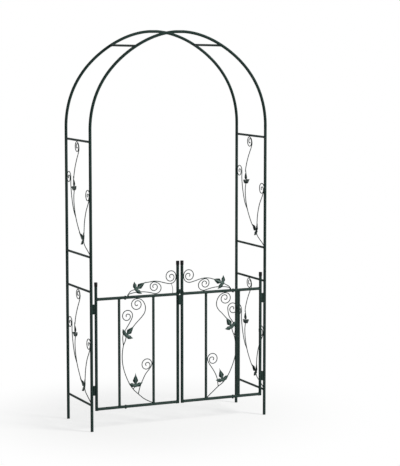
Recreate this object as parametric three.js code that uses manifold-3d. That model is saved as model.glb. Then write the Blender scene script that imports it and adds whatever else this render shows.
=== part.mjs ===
// Garden arch with a two-leaf gate, made of painted steel tube and wire.
// Millimetres. X runs across the path, from left to right. The front is at -Y, and Z is up.
// The origin is on the ground, in the middle of the box that holds the whole arch.

import * as THREE from "three";
import { mergeVertices } from "three/addons/utils/BufferGeometryUtils.js";
import Module from "manifold-3d";

const wasm = await Module();
wasm.setup();

// Driving dimensions of the arch
const archWidth = 1100; // between post centres, left to right
const archDepth = 384; // between post centres, front to back
const haunchDip = 10; // how far the hoops lie inside a half circle on either side of the crown
const hoopBarOffset = 266; // of the two bars between the hoops, from the middle
const bottomRungHeight = 152;
const upperRungHeight = 1003; // of the first rung of the upper trellis panel
const panelHeight = 653; // between the two rungs of a trellis panel
const jointAboveRung = 45; // the posts come apart this far above each panel
const springAboveJoint = 21; // the hoops start to bend this far above the posts

// Driving dimensions of the gate
const bottomRailHeight = 128;
const topRailHeight = 762;
const hingeStileRise = 98; // of its cap's top above the top rail
const lockStileRise = 194; // of its cap's top above the top rail
const upperHingeDrop = 56; // below the top rail
const lowerHingeRise = 109; // above the bottom rail
const outerBarOffset = 380; // from the middle of the arch
const innerBarOffset = 167; // from the middle of the arch
const railJointOffset = 348; // from the middle of the arch
const leafGap = 10; // between the two lock stiles
const crestHeight = 140; // of the ornament on top of a leaf

// Tube, wire and sheet
const tubeDiameter = 17; // posts, hoops, rails and stiles
const barDiameter = 15;
const rungDiameter = 13;
const wallThickness = 1;
const wireDiameter = 5;
const strutDiameter = 3;
const leafThickness = 2;

// Fits
const weldGap = 0.3; // between pieces that are welded to each other
const seatGap = 0.3; // between the faces of pieces that are pushed together
const spigotClearance = 0.4; // round a spigot, in the bore of the next tube
const spigotLength = 20;
const neckLength = 3; // of the wall that steps in at the foot of a spigot
const weldDepth = 1; // how deep a welded lug or stud runs into a tube's wall

// Hinges: a pin on the post, and a barrel on the gate that drops over it
const barrelDiameter = 11;
const barrelLength = 28;
const pinDiameter = 5.4;
const pinLength = 24;
const pinClearance = 0.3;
const pinChamfer = 0.8;

// Plastic caps on the stiles
const capDiameter = 19.5;
const capHeight = 24;
const capTopThickness = 2.5;
const capRounding = 1.6;

// Latch: a flat bar that hangs from a rivet on the left leaf, and a stud on the right leaf
const latchRise = 17; // of its rivet above the top rail
const latchWidth = 18;
const latchThickness = 3;
const latchDrop = 78; // from the rivet to the bar's tip
const latchSideGap = 0.8; // between the hanging bar and the far edge of the gap between the leaves
const latchClearance = 0.3;
const lugThickness = 3;
const lugHeight = 24;
const lugReach = 13; // from the rivet to the lug's far edge
const rivetDiameter = 6;
const rivetHeadDiameter = 11;
const rivetHeadHeight = 2.5;
const studDiameter = 6;
const studHeadDiameter = 10;
const studHeadHeight = 2;
const notchSlack = 0.4; // on either side of the stud in the closed bar's notch
const notchFlare = 2.6; // the mouth is wider towards the rivet, because the bar swings onto the stud

// Ornaments
const scrollRadius = 31;
const panelCrownRadius = 28; // of the curl under a trellis panel's upper rung
const crestScrollRadius = 25; // of the curl that rises from the top rail
const scrollEndRadius = 9;
const leafReach = 42; // from the middle of an ivy leaf to the tip of a side lobe

// Numbers of faces, and shares
const tubeSides = 16;
const thinTubeSides = 12;
const wireSides = 6;
const hoopLowerSteps = 12; // of a hoop, between its spring and the bar
const hoopUpperSteps = 5; // of a hoop, between the bar and its crown
const scrollStepsPerTurn = 10;
const scrollTurns = 1.65;
const crestScrollTurns = 1.4;
const wideShare = 0.36; // a curl stays wide over this share of its turns
const drawnInShare = 0.8; // and has drawn in to its small end after this share
const quarterTurn = Math.PI / 2;

// Worked out from the sizes above
const tubeRadius = tubeDiameter / 2;
const tubeBore = tubeRadius - wallThickness;
const spigotRadius = tubeBore - spigotClearance;
const barRadius = barDiameter / 2;
const rungRadius = rungDiameter / 2;
const wireRadius = wireDiameter / 2;
const barrelRadius = barrelDiameter / 2;
const pinRadius = pinDiameter / 2;
const postX = archWidth / 2;
const postY = archDepth / 2;
const lowerRungHeight = bottomRungHeight + panelHeight;
const topRungHeight = upperRungHeight + panelHeight;
const lowerJointHeight = lowerRungHeight + jointAboveRung;
const upperJointHeight = topRungHeight + jointAboveRung;
const springHeight = upperJointHeight + springAboveJoint;
const hingeStileHeight = topRailHeight + hingeStileRise;
const lockStileHeight = topRailHeight + lockStileRise;
const upperHingeHeight = topRailHeight - upperHingeDrop;
const lowerHingeHeight = bottomRailHeight + lowerHingeRise;
const latchPivotHeight = topRailHeight + latchRise;
const hingeAxisX = postX - tubeRadius - weldGap - barrelRadius;
const hingeStileX = hingeAxisX - barrelRadius - weldGap - tubeRadius;
const lockStileX = leafGap / 2 + tubeRadius;
const latchPivotX = latchWidth / 2 + latchSideGap - leafGap / 2; // to the left of the middle
const lugBack = tubeRadius - weldDepth; // in front of the gate's plane
const lugFront = lugBack + lugThickness;
const latchBack = lugFront + latchClearance;
const latchFront = latchBack + latchThickness;
const rivetHeadFront = latchFront + latchClearance + rivetHeadHeight;
const rivetRadius = rivetDiameter / 2;
const studRadius = studDiameter / 2;
const wireSeat = weldGap + wireRadius; // from a surface to the middle of a wire welded to it

// The rivet's head stands furthest forward, and the back posts furthest back.
const boxShift = (rivetHeadFront - tubeRadius) / 2;

const tubePaint = { color: 0x2c3b39, roughness: 0.48, metalness: 0.25 };
const wirePaint = { color: 0x4a5351, roughness: 0.5, metalness: 0.3 };
const blackPlastic = { color: 0x121314, roughness: 0.55, metalness: 0 };

// Solids

function solid(geometry) {
  geometry.deleteAttribute("normal");
  geometry.deleteAttribute("uv");
  const merged = mergeVertices(geometry);
  return new wasm.Manifold(
    new wasm.Mesh({
      numProp: 3,
      vertProperties: merged.attributes.position.array,
      triVerts: new Uint32Array(merged.index.array),
    }),
  );
}

function geometryOf(manifold) {
  const { vertProperties, triVerts } = manifold.getMesh();
  const geometry = new THREE.BufferGeometry();
  geometry.setAttribute("position", new THREE.BufferAttribute(vertProperties, 3));
  geometry.setIndex(new THREE.BufferAttribute(triVerts, 1));
  geometry.computeVertexNormals();
  return geometry;
}

function joined(solids) {
  return geometryOf(solids.reduce((whole, next) => whole.add(next)));
}

function addMesh(group, name, geometry, paint) {
  const mesh = new THREE.Mesh(geometry, new THREE.MeshStandardMaterial(paint));
  mesh.name = name;
  group.add(mesh);
  return mesh;
}

// A solid turned about Z. The profile lists [radius, height] corners, up the outside and down the inside.
function turned(profile, sides) {
  const corners = profile.map(([radius, height]) => new THREE.Vector2(radius, height));
  const closesOnAxis = corners[0].x === 0;
  if (!closesOnAxis) corners.push(corners[0].clone());
  return new THREE.LatheGeometry(corners, sides).rotateX(quarterTurn);
}

function tube(from, to, radius, sides) {
  const bore = radius - wallThickness;
  return turned([[radius, from], [radius, to], [bore, to], [bore, from]], sides);
}

// A tube whose upper end is drawn in to a spigot that fits the bore of a like tube.
function tubeWithSpigot(from, shoulder) {
  const tip = shoulder + spigotLength;
  const neck = shoulder - neckLength;
  const spigotBore = spigotRadius - wallThickness;
  const outside = [[tubeRadius, from], [tubeRadius, shoulder], [spigotRadius, shoulder], [spigotRadius, tip]];
  const inside = [[spigotBore, tip], [spigotBore, neck], [tubeBore, neck], [tubeBore, from]];
  return turned([...outside, ...inside], tubeSides);
}

// Saddles one end of a tube to fit the round tube that it meets square on.
// The end lies at the neighbour's axis, and across is the tube's direction that runs over the neighbour.
function saddle(geometry, endHeight, direction, neighbourRadius, across) {
  const reach = neighbourRadius + weldGap;
  const position = geometry.attributes.position;
  for (let i = 0; i < position.count; i++) {
    if (Math.abs(position.getZ(i) - endHeight) > wallThickness) continue;
    const offset = across === "x" ? position.getX(i) : position.getY(i);
    const retreat = Math.sqrt(Math.max(reach * reach - offset * offset, 0));
    position.setZ(i, endHeight + direction * retreat);
  }
  return geometry;
}

// A tube welded between two like neighbours whose axes are span apart.
function saddledTube(span, radius, sides, neighbourRadius, across) {
  const geometry = tube(0, span, radius, sides);
  saddle(geometry, 0, 1, neighbourRadius, across);
  return saddle(geometry, span, -1, neighbourRadius, across);
}

function polygon(radius, sides) {
  const points = [];
  for (let i = 0; i < sides; i++) {
    const angle = (i / sides) * 4 * quarterTurn;
    points.push(new THREE.Vector2(radius * Math.cos(angle), radius * Math.sin(angle)));
  }
  return points;
}

function ring(outerRadius, innerRadius, sides) {
  const shape = new THREE.Shape(polygon(outerRadius, sides));
  shape.holes.push(new THREE.Path(polygon(innerRadius, sides)));
  return shape;
}

// A curve that is cut into steps at its own points, so that tight curls get short steps.
class SteppedCurve extends THREE.CatmullRomCurve3 {
  getPointAt(share, target) {
    return this.getPoint(share, target);
  }

  getTangentAt(share, target) {
    return this.getTangent(share, target);
  }
}

function swept(shape, points) {
  const extrudePath = new SteppedCurve(points);
  return new THREE.ExtrudeGeometry(shape, { steps: points.length - 1, bevelEnabled: false, extrudePath });
}

// Posts

const frame = new THREE.Group();

function addPost(place, x, y) {
  const lower = tubeWithSpigot(0, lowerJointHeight);
  const upper = tubeWithSpigot(lowerJointHeight + seatGap, upperJointHeight);
  addMesh(frame, `post_lower_${place}`, lower, tubePaint).position.set(x, y, 0);
  addMesh(frame, `post_upper_${place}`, upper, tubePaint).position.set(x, y, 0);
}

// Hoops. Each is two bent halves, and the left half's spigot fits into the right half at the crown.

function hoopRadius(angle) {
  const peak = 27 / 4; // makes the dip 1 at its deepest
  return postX - haunchDip * peak * Math.sin(angle) ** 4 * Math.cos(angle) ** 2;
}

// The angle runs from 0 at the left spring, over the crown, to two quarter turns at the right.
function hoopPoint(angle) {
  const radius = hoopRadius(angle);
  return new THREE.Vector3(-radius * Math.cos(angle), 0, springHeight + radius * Math.sin(angle));
}

function hoopArc(from, to, steps) {
  const points = [];
  for (let i = 0; i <= steps; i++) points.push(hoopPoint(from + ((to - from) * i) / steps));
  return points;
}

// Each half hoop is straight for a short stretch where a bar sits on it, and again at the crown.
const hoopBarAngle = Math.acos(hoopBarOffset / hoopRadius(Math.acos(hoopBarOffset / postX)));
const hoopFlatAngle = (2 * tubeDiameter) / postX; // half of the stretch at a bar
const crownFlatAngle = (spigotLength + neckLength) / postX;

function hoopHalf(withSpigot) {
  const foot = new THREE.Vector3(-postX, 0, upperJointHeight + seatGap);
  const lowerArc = hoopArc(0, hoopBarAngle - hoopFlatAngle, hoopLowerSteps);
  const upperArc = hoopArc(hoopBarAngle + hoopFlatAngle, quarterTurn - crownFlatAngle, hoopUpperSteps);
  const crownHeight = upperArc[hoopUpperSteps].z;
  const crown = new THREE.Vector3(withSpigot ? 0 : -seatGap, 0, crownHeight);
  const body = [foot, ...lowerArc, ...upperArc, crown];
  const main = solid(swept(ring(tubeRadius, tubeBore, tubeSides), body));
  if (!withSpigot) return geometryOf(main);
  const spigotBore = spigotRadius - wallThickness;
  const neckRadius = (tubeRadius + tubeBore) / 2;
  const outside = [[neckRadius, -neckLength], [neckRadius, 0], [spigotRadius, 0], [spigotRadius, spigotLength]];
  const inside = [[spigotBore, spigotLength], [spigotBore, -neckLength]];
  const spigot = turned([...outside, ...inside], tubeSides).rotateY(quarterTurn).translate(0, 0, crownHeight);
  return joined([main, solid(spigot)]);
}

function addHoop(place, y) {
  addMesh(frame, `hoop_${place}_left`, hoopHalf(true), tubePaint).position.y = y;
  const right = addMesh(frame, `hoop_${place}_right`, hoopHalf(false), tubePaint);
  right.position.y = y;
  right.rotation.z = 2 * quarterTurn;
}

// A bar between the hoops, in the middle of their straight stretches.
function addHoopBar(place, side) {
  const [start, end] = hoopArc(hoopBarAngle - hoopFlatAngle, hoopBarAngle + hoopFlatAngle, 1);
  const bar = saddledTube(archDepth, rungRadius, thinTubeSides, tubeRadius, "y").rotateX(-quarterTurn);
  const mesh = addMesh(frame, `hoop_bar_${place}`, bar, tubePaint);
  mesh.rotation.y = side * Math.atan2(end.z - start.z, end.x - start.x);
  mesh.position.set((-side * (start.x + end.x)) / 2, -postY, (start.z + end.z) / 2);
}

// Trellis sides

function addRung(name, side, height) {
  const rung = saddledTube(archDepth, rungRadius, thinTubeSides, tubeRadius, "x").rotateX(-quarterTurn);
  addMesh(frame, name, rung, tubePaint).position.set(side * postX, -postY, height);
}

// Ornaments lie in the XZ plane: the first number of each point runs across and the second runs up.

function placed(shares, width, height) {
  return shares.map(([across, up]) => new THREE.Vector2(across * width, up * height));
}

// The points of a curl, from its stem inwards, going round from right to left over the top.
function curl(centre, radius, startAngle, turns) {
  const steps = Math.round(turns * scrollStepsPerTurn);
  const points = [];
  for (let i = 0; i <= steps; i++) {
    const drawnIn = THREE.MathUtils.smoothstep(i / steps, wideShare, drawnInShare);
    const reach = THREE.MathUtils.lerp(radius, scrollEndRadius, drawnIn);
    const angle = startAngle + (i / steps) * turns * 4 * quarterTurn;
    points.push(new THREE.Vector2(centre.x + reach * Math.cos(angle), centre.y + reach * Math.sin(angle)));
  }
  return points;
}

function wire(points, diameter) {
  const shape = new THREE.Shape(polygon(diameter / 2, wireSides));
  return solid(swept(shape, points.map((point) => new THREE.Vector3(point.x, 0, point.y))));
}

// Half of an ivy leaf's outline, in shares of its reach, from the tip of the middle lobe to the stalk.
const leafOutlineShares = [
  [0, 1.6],
  [0.1, 1.2],
  [0.3, 0.75],
  [0.4, 0.48],
  [0.15, 0.09],
  [0.54, 0.22],
  [1.05, 0.18],
  [0.76, -0.22],
  [0.54, -0.39],
  [0.12, -0.42],
];

function ivyLeaf(centre, axisAngle) {
  const half = placed(leafOutlineShares, leafReach, leafReach);
  const otherHalf = half.slice(1).reverse().map((point) => new THREE.Vector2(-point.x, point.y));
  const shape = new THREE.Shape([...half, ...otherHalf]);
  const geometry = new THREE.ExtrudeGeometry(shape, { depth: leafThickness, bevelEnabled: false });
  geometry.translate(0, 0, -leafThickness / 2).rotateX(quarterTurn);
  geometry.rotateY(quarterTurn - axisAngle).translate(centre.x, 0, centre.y);
  return solid(geometry);
}

function alongLeaf(centre, axisAngle, share) {
  const reach = leafReach * share;
  return new THREE.Vector2(centre.x + reach * Math.cos(axisAngle), centre.y + reach * Math.sin(axisAngle));
}

// Where the wires of an ivy leaf start: near the tip of its middle lobe, and inside its base.
const leafTipShare = 1.3;
const leafBaseShare = -0.2;

// The trellis panel's ornament. Across runs from the back post to the front post, in shares of the
// arch's depth from the middle. Up runs in shares of the panel's height, from its lower rung.
const sideLeafShares = [
  [-0.165, 0.578],
  [0.185, 0.141],
];
const sideLeafAngles = [1.69, 2.6];
const sideCrownStemShares = [
  [-0.178, 0.68],
  [-0.13, 0.755],
  [-0.055, 0.83],
  [0.02, 0.893],
  [0.045, 0.93],
  [0.02, 0.968],
];
const sideMainStemShares = [
  [-0.188, 0.5],
  [-0.172, 0.41],
  [-0.112, 0.318],
  [-0.036, 0.25],
];
const sideFootShares = [
  [0.236, 0.097],
  [0.32, 0.066],
  [0.405, 0.04],
];
const sideBackStemShares = [
  [-0.112, 0.318],
  [-0.18, 0.36],
  [-0.235, 0.42],
  [-0.285, 0.51],
  [-0.312, 0.6],
];
const sideFrontStemShares = [
  [0.215, 0.13],
  [0.226, 0.2],
  [0.248, 0.29],
  [0.31, 0.385],
  [0.405, 0.464],
];
const sideCrownShare = -0.04;
const sideBackCurlShare = 0.663;
const sideFrontCurlShare = 0.532;

function sideScroll() {
  const width = archDepth;
  const height = panelHeight;
  const [upperLeaf, lowerLeaf] = placed(sideLeafShares, width, height);
  const [upperAngle, lowerAngle] = sideLeafAngles;
  const postFace = postY - tubeRadius - wireSeat;
  const crown = new THREE.Vector2(sideCrownShare * width, height - rungRadius - wireSeat - panelCrownRadius);
  const back = new THREE.Vector2(0, sideBackCurlShare * height);
  const backCurl = curl(back, scrollRadius, 0, scrollTurns);
  const backReach = Math.min(...backCurl.map((point) => point.x));
  backCurl.forEach((point) => (point.x -= postFace + backReach));
  const front = new THREE.Vector2(postFace - scrollRadius, sideFrontCurlShare * height);
  const foot = new THREE.Vector2(postFace, rungRadius + wireSeat);
  const wires = [
    [
      alongLeaf(upperLeaf, upperAngle, leafTipShare),
      ...placed(sideCrownStemShares, width, height),
      ...curl(crown, panelCrownRadius, quarterTurn, scrollTurns),
    ],
    [
      alongLeaf(upperLeaf, upperAngle, leafBaseShare),
      ...placed(sideMainStemShares, width, height),
      alongLeaf(lowerLeaf, lowerAngle, leafTipShare),
      lowerLeaf,
      ...placed(sideFootShares, width, height),
      foot,
    ],
    [...placed(sideBackStemShares, width, height), ...backCurl],
    [...placed(sideFrontStemShares, width, height), ...curl(front, scrollRadius, 0, scrollTurns)],
  ];
  const leaves = [ivyLeaf(upperLeaf, upperAngle), ivyLeaf(lowerLeaf, lowerAngle)];
  return joined([...wires.map((points) => wire(points, wireDiameter)), ...leaves]);
}

function addTrellis(place, side) {
  addRung(`rung_bottom_${place}`, side, bottomRungHeight);
  addRung(`rung_lower_${place}`, side, lowerRungHeight);
  addRung(`rung_upper_${place}`, side, upperRungHeight);
  addRung(`rung_top_${place}`, side, topRungHeight);
  const panels = { lower: bottomRungHeight, upper: upperRungHeight };
  for (const [level, height] of Object.entries(panels)) {
    const scroll = addMesh(frame, `side_scroll_${level}_${place}`, sideScroll(), wirePaint);
    scroll.rotation.z = -quarterTurn;
    scroll.position.set(side * postX, 0, height);
  }
}

// Gate ornaments. Across runs from the outer bar towards the lock stile.

const bayWidth = outerBarOffset - innerBarOffset;
const bayHeight = topRailHeight - bottomRailHeight;

// In shares of the bay's width and height, from the middle of the outer bar and bottom rail. The two gate
// leaves were bent and welded by hand, and they differ a little.
const bayForms = {
  left: {
    leaves: [
      [0.227, 0.662],
      [0.467, 0.199],
    ],
    leafAngles: [0.83, 1.57],
    crownAcross: 0.508,
    crownStem: [
      [0.51, 0.765],
      [0.62, 0.8],
      [0.72, 0.838],
      [0.765, 0.875],
      [0.76, 0.915],
      [0.7, 0.955],
      [0.61, 0.978],
    ],
    mainStem: [
      [0.184, 0.611],
      [0.124, 0.564],
      [0.097, 0.515],
      [0.085, 0.455],
      [0.1, 0.39],
      [0.16, 0.31],
      [0.27, 0.222],
      [0.4, 0.154],
      [0.55, 0.106],
      [0.71, 0.06],
      [0.86, 0.031],
    ],
    stalkFoot: [0.4, 0.154],
    outerStem: [
      [0.124, 0.564],
      [0.108, 0.6],
      [0.104, 0.641],
      [0.135, 0.68],
      [0.195, 0.71],
      [0.31, 0.77],
    ],
    outerCurl: [0.245, 0.833],
    innerStem: [
      [0.55, 0.106],
      [0.6, 0.17],
      [0.675, 0.228],
      [0.77, 0.287],
      [0.9, 0.338],
    ],
  },
  right: {
    leaves: [
      [0.241, 0.67],
      [0.503, 0.179],
    ],
    leafAngles: [1.01, 1.27],
    crownAcross: 0.406,
    crownStem: [
      [0.51, 0.792],
      [0.616, 0.827],
      [0.675, 0.865],
      [0.675, 0.905],
      [0.61, 0.95],
      [0.51, 0.976],
    ],
    mainStem: [
      [0.195, 0.62],
      [0.14, 0.573],
      [0.105, 0.515],
      [0.09, 0.455],
      [0.11, 0.385],
      [0.181, 0.308],
      [0.304, 0.219],
      [0.475, 0.144],
      [0.627, 0.109],
      [0.798, 0.062],
      [0.9, 0.034],
    ],
    stalkFoot: [0.475, 0.144],
    outerStem: [
      [0.14, 0.573],
      [0.112, 0.62],
      [0.125, 0.672],
      [0.205, 0.715],
      [0.29, 0.757],
    ],
    outerCurl: [0.195, 0.833],
    innerStem: [
      [0.627, 0.109],
      [0.66, 0.185],
      [0.72, 0.235],
      [0.8, 0.28],
      [0.91, 0.335],
    ],
  },
};
const bayInnerCurlShare = 0.374;
const outerCurlAngle = -0.3;

function bayScroll(form) {
  const inBay = (shares) => placed(shares, bayWidth, bayHeight);
  const [upperLeaf, lowerLeaf] = inBay(form.leaves);
  const [upperAngle, lowerAngle] = form.leafAngles;
  const crownTop = bayHeight - tubeRadius - wireSeat;
  const crown = new THREE.Vector2(form.crownAcross * bayWidth, crownTop - scrollRadius);
  const [outer] = inBay([form.outerCurl]);
  const barFace = bayWidth - barRadius - wireSeat;
  const inner = new THREE.Vector2(barFace - scrollRadius, bayInnerCurlShare * bayHeight);
  const foot = new THREE.Vector2(barFace, tubeRadius + wireSeat);
  const wires = [
    [
      alongLeaf(upperLeaf, upperAngle, leafTipShare),
      ...inBay(form.crownStem),
      ...curl(crown, scrollRadius, quarterTurn, scrollTurns),
    ],
    [alongLeaf(upperLeaf, upperAngle, leafBaseShare), ...inBay(form.mainStem), foot],
    [alongLeaf(lowerLeaf, lowerAngle, leafBaseShare), ...inBay([form.stalkFoot])],
    [...inBay(form.outerStem), ...curl(outer, scrollRadius, outerCurlAngle, scrollTurns)],
    [...inBay(form.innerStem), ...curl(inner, scrollRadius, 0, scrollTurns)],
  ];
  const leaves = [ivyLeaf(upperLeaf, upperAngle), ivyLeaf(lowerLeaf, lowerAngle)];
  return joined([...wires.map((points) => wire(points, wireDiameter)), ...leaves]);
}

// In shares of the width from the outer bar to the lock stile's face, and of the crest's height.
const crestWidth = outerBarOffset - lockStileX - tubeRadius;
const crestForms = {
  left: {
    leaf: [0.311, 0.346],
    leafAngle: 0.576,
    stalk: [
      [0.17, 0.16],
      [0.208, 0.255],
    ],
    hasStrut: true,
  },
  right: {
    leaf: [0.318, 0.367],
    leafAngle: 0.42,
    stalk: [
      [0.178, 0.18],
      [0.245, 0.275],
    ],
    hasStrut: false,
  },
};
const crestLowerStemShares = [
  [0.163, 0.12],
  [0.22, 0.16],
  [0.3, 0.188],
  [0.42, 0.188],
  [0.53, 0.145],
];
const crestCurlTailShares = [
  [0.7, 0.14],
  [0.728, 0.25],
  [0.725, 0.385],
  [0.685, 0.5],
];
const crestUpperStemShares = [
  [0.52, 0.575],
  [0.61, 0.6],
  [0.7, 0.57],
  [0.8, 0.5],
  [0.9, 0.455],
  [0.965, 0.53],
  [0.99, 0.65],
];
const crestLowerCurlShares = [[0.61, 0.39]];
const crestStalkFootShare = 0.155;
const crestRailTouchShare = 0.64;
const crestUpperCurlShare = 0.765;
const strutShares = [
  [0.912, 0.455],
  [0.935, 0.25],
];

function crestScroll(form) {
  const [leafCentre] = placed([form.leaf], crestWidth, crestHeight);
  const railTop = tubeRadius + wireSeat;
  const [lower] = placed(crestLowerCurlShares, crestWidth, crestHeight);
  const lowerStem = placed(crestLowerStemShares, crestWidth, crestHeight);
  lowerStem.push(new THREE.Vector2(crestRailTouchShare * crestWidth, railTop));
  const upper = new THREE.Vector2(crestWidth - wireSeat - scrollRadius, crestUpperCurlShare * crestHeight);
  const stalkFoot = new THREE.Vector2(crestStalkFootShare * crestWidth, railTop);
  const stalk = placed(form.stalk, crestWidth, crestHeight);
  const strut = placed(strutShares, crestWidth, crestHeight);
  strut.push(new THREE.Vector2(strut[1].x, tubeRadius + weldGap + strutDiameter / 2));
  const wires = [
    [stalkFoot, ...stalk, alongLeaf(leafCentre, form.leafAngle, leafBaseShare)],
    [
      ...lowerStem,
      ...placed(crestCurlTailShares, crestWidth, crestHeight),
      ...curl(lower, crestScrollRadius, quarterTurn, crestScrollTurns),
    ],
    [
      alongLeaf(leafCentre, form.leafAngle, leafTipShare),
      ...placed(crestUpperStemShares, crestWidth, crestHeight),
      ...curl(upper, scrollRadius, 0, scrollTurns),
    ],
  ].map((points) => wire(points, wireDiameter));
  if (form.hasStrut) wires.push(wire(strut, strutDiameter));
  return joined([...wires, ivyLeaf(leafCentre, form.leafAngle)]);
}

// Gate leaves. A leaf is drawn as the left one, and the right one is its mirror image.

function stile(height) {
  return tube(bottomRailHeight - tubeRadius, height - capTopThickness - seatGap, tubeRadius, tubeSides);
}

function cap() {
  const outer = capDiameter / 2;
  const bore = tubeRadius + seatGap;
  const inside = [[0, -capTopThickness], [bore, -capTopThickness], [bore, -capHeight]];
  const outside = [[outer, -capHeight], [outer, -capRounding], [outer - capRounding, 0], [0, 0]];
  return turned([...inside, ...outside], tubeSides);
}

// A stud of round steps that points to the front: each step is [radius, from, to], forward of the gate's plane.
function frontStud(steps) {
  const profile = [[0, steps[0][1]]];
  for (const [radius, from, to] of steps) profile.push([radius, from], [radius, to]);
  profile.push([0, profile[profile.length - 1][1]]);
  return turned(profile, tubeSides).rotateX(quarterTurn);
}

// The left lock stile carries the lug that the latch bar hangs from.
function latchStile() {
  const left = -lugReach - latchPivotX;
  const right = leafGap / 2 - latchSideGap;
  const lug = new THREE.BoxGeometry(right - left, lugThickness, lugHeight);
  lug.translate((left + right) / 2, -(lugBack + lugFront) / 2, latchPivotHeight);
  const hole = frontStud([[rivetRadius + latchClearance, lugBack - latchClearance, lugFront + latchClearance]]);
  hole.translate(-latchPivotX, 0, latchPivotHeight);
  const stileTube = stile(lockStileHeight).translate(-lockStileX, 0, 0);
  return geometryOf(solid(stileTube).add(solid(lug)).subtract(solid(hole)));
}

// The right lock stile carries the stud that the closed latch bar drops onto.
function keeperStile() {
  const shankFront = latchFront + latchClearance;
  const stud = frontStud([
    [studRadius, lugBack, shankFront],
    [studHeadDiameter / 2, shankFront, shankFront + studHeadHeight],
  ]);
  stud.translate(-lockStileX, 0, latchPivotHeight - latchClearance - studRadius);
  const stileTube = stile(lockStileHeight).translate(-lockStileX, 0, 0);
  return joined([solid(stileTube), solid(stud)]);
}

function addRail(group, name, height) {
  const shortSpan = hingeStileX - railJointOffset;
  const longSpan = railJointOffset - lockStileX;
  const short = saddle(tubeWithSpigot(0, shortSpan), 0, 1, tubeRadius, "y");
  const long = saddle(tube(0, longSpan - seatGap, tubeRadius, tubeSides), 0, 1, tubeRadius, "y");
  const shortMesh = addMesh(group, `${name}_short`, short.rotateY(quarterTurn), tubePaint);
  shortMesh.position.set(-hingeStileX, 0, height);
  const longMesh = addMesh(group, `${name}_long`, long.rotateY(-quarterTurn), tubePaint);
  longMesh.position.set(-lockStileX, 0, height);
}

function addLeafBar(group, name, offset) {
  const bar = saddledTube(bayHeight, barRadius, thinTubeSides, tubeRadius, "y");
  addMesh(group, name, bar, tubePaint).position.set(-offset, 0, bottomRailHeight);
}

function addCap(group, name, x, height) {
  addMesh(group, name, cap(), blackPlastic).position.set(-x, 0, height);
}

function addHinge(group, name, side, height) {
  const bore = pinRadius + pinClearance;
  const middle = seatGap / 2;
  const post = turned(
    [
      [0, -barrelLength - middle],
      [barrelRadius, -barrelLength - middle],
      [barrelRadius, -middle],
      [pinRadius, -middle],
      [pinRadius, pinLength - pinChamfer],
      [pinRadius - pinChamfer, pinLength],
      [0, pinLength],
    ],
    tubeSides,
  );
  const top = middle + barrelLength;
  const barrel = turned([[barrelRadius, middle], [barrelRadius, top], [bore, top], [bore, middle]], tubeSides);
  addMesh(frame, `hinge_pin_${name}`, post, tubePaint).position.set(side * hingeAxisX, -postY, height);
  addMesh(group, `hinge_barrel_${name}`, barrel, tubePaint).position.set(-hingeAxisX, 0, height);
}

function addLeaf(place, side) {
  const leaf = new THREE.Group();
  leaf.position.y = -postY;
  leaf.scale.x = -side;
  const hasLatch = side < 0;
  const prefix = `gate_${place}`;
  const hingeStile = stile(hingeStileHeight);
  addMesh(leaf, `${prefix}_hinge_stile`, hingeStile, tubePaint).position.x = -hingeStileX;
  addMesh(leaf, `${prefix}_lock_stile`, hasLatch ? latchStile() : keeperStile(), tubePaint);
  addCap(leaf, `${prefix}_hinge_cap`, hingeStileX, hingeStileHeight);
  addCap(leaf, `${prefix}_lock_cap`, lockStileX, lockStileHeight);
  addRail(leaf, `${prefix}_bottom_rail`, bottomRailHeight);
  addRail(leaf, `${prefix}_top_rail`, topRailHeight);
  addLeafBar(leaf, `${prefix}_outer_bar`, outerBarOffset);
  addLeafBar(leaf, `${prefix}_inner_bar`, innerBarOffset);
  const bay = addMesh(leaf, `${prefix}_bay_scroll`, bayScroll(bayForms[place]), wirePaint);
  bay.position.set(-outerBarOffset, 0, bottomRailHeight);
  const crest = addMesh(leaf, `${prefix}_crest_scroll`, crestScroll(crestForms[place]), wirePaint);
  crest.position.set(-outerBarOffset, 0, topRailHeight);
  addHinge(leaf, `upper_${place}`, side, upperHingeHeight);
  addHinge(leaf, `lower_${place}`, side, lowerHingeHeight);
  frame.add(leaf);
}

// Latch. The bar is drawn hanging, with its rivet at the origin of its outline.

function latchOutline() {
  const half = latchWidth / 2;
  const shape = new THREE.Shape();
  const studAt = lockStileX + latchPivotX;
  const notchHalf = studRadius + notchSlack;
  shape.moveTo(half, 0);
  shape.absarc(0, 0, half, 0, 2 * quarterTurn, false);
  shape.lineTo(-half, notchHalf + notchFlare - studAt);
  shape.lineTo(-studRadius, notchHalf - studAt);
  shape.lineTo(0, notchHalf - studAt);
  shape.lineTo(0, -notchHalf - studAt);
  shape.lineTo(-half, -notchHalf - studAt);
  shape.absarc(0, half - latchDrop, half, 2 * quarterTurn, 4 * quarterTurn, false);
  shape.holes.push(new THREE.Path(polygon(rivetRadius + latchClearance, tubeSides)));
  return shape;
}

function addLatch() {
  const options = { depth: latchThickness, bevelEnabled: false, curveSegments: tubeSides / 2 };
  const bar = new THREE.ExtrudeGeometry(latchOutline(), options).rotateX(quarterTurn);
  addMesh(frame, "latch_bar", bar, tubePaint).position.set(-latchPivotX, -postY - latchBack, latchPivotHeight);
  const rivet = frontStud([
    [rivetRadius, lugBack, latchFront + latchClearance],
    [rivetHeadDiameter / 2, latchFront + latchClearance, rivetHeadFront],
  ]);
  addMesh(frame, "latch_rivet", rivet, tubePaint).position.set(-latchPivotX, -postY, latchPivotHeight);
}

// The whole arch

const sides = { left: -1, right: 1 };
for (const [place, side] of Object.entries(sides)) {
  addPost(`front_${place}`, side * postX, -postY);
  addPost(`back_${place}`, side * postX, postY);
  addHoopBar(place, side);
  addTrellis(place, side);
  addLeaf(place, side);
}
addHoop("front", -postY);
addHoop("back", postY);
addLatch();

const arch = new THREE.Group();
arch.add(frame);
frame.position.y = boxShift;

export default arch;
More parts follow.
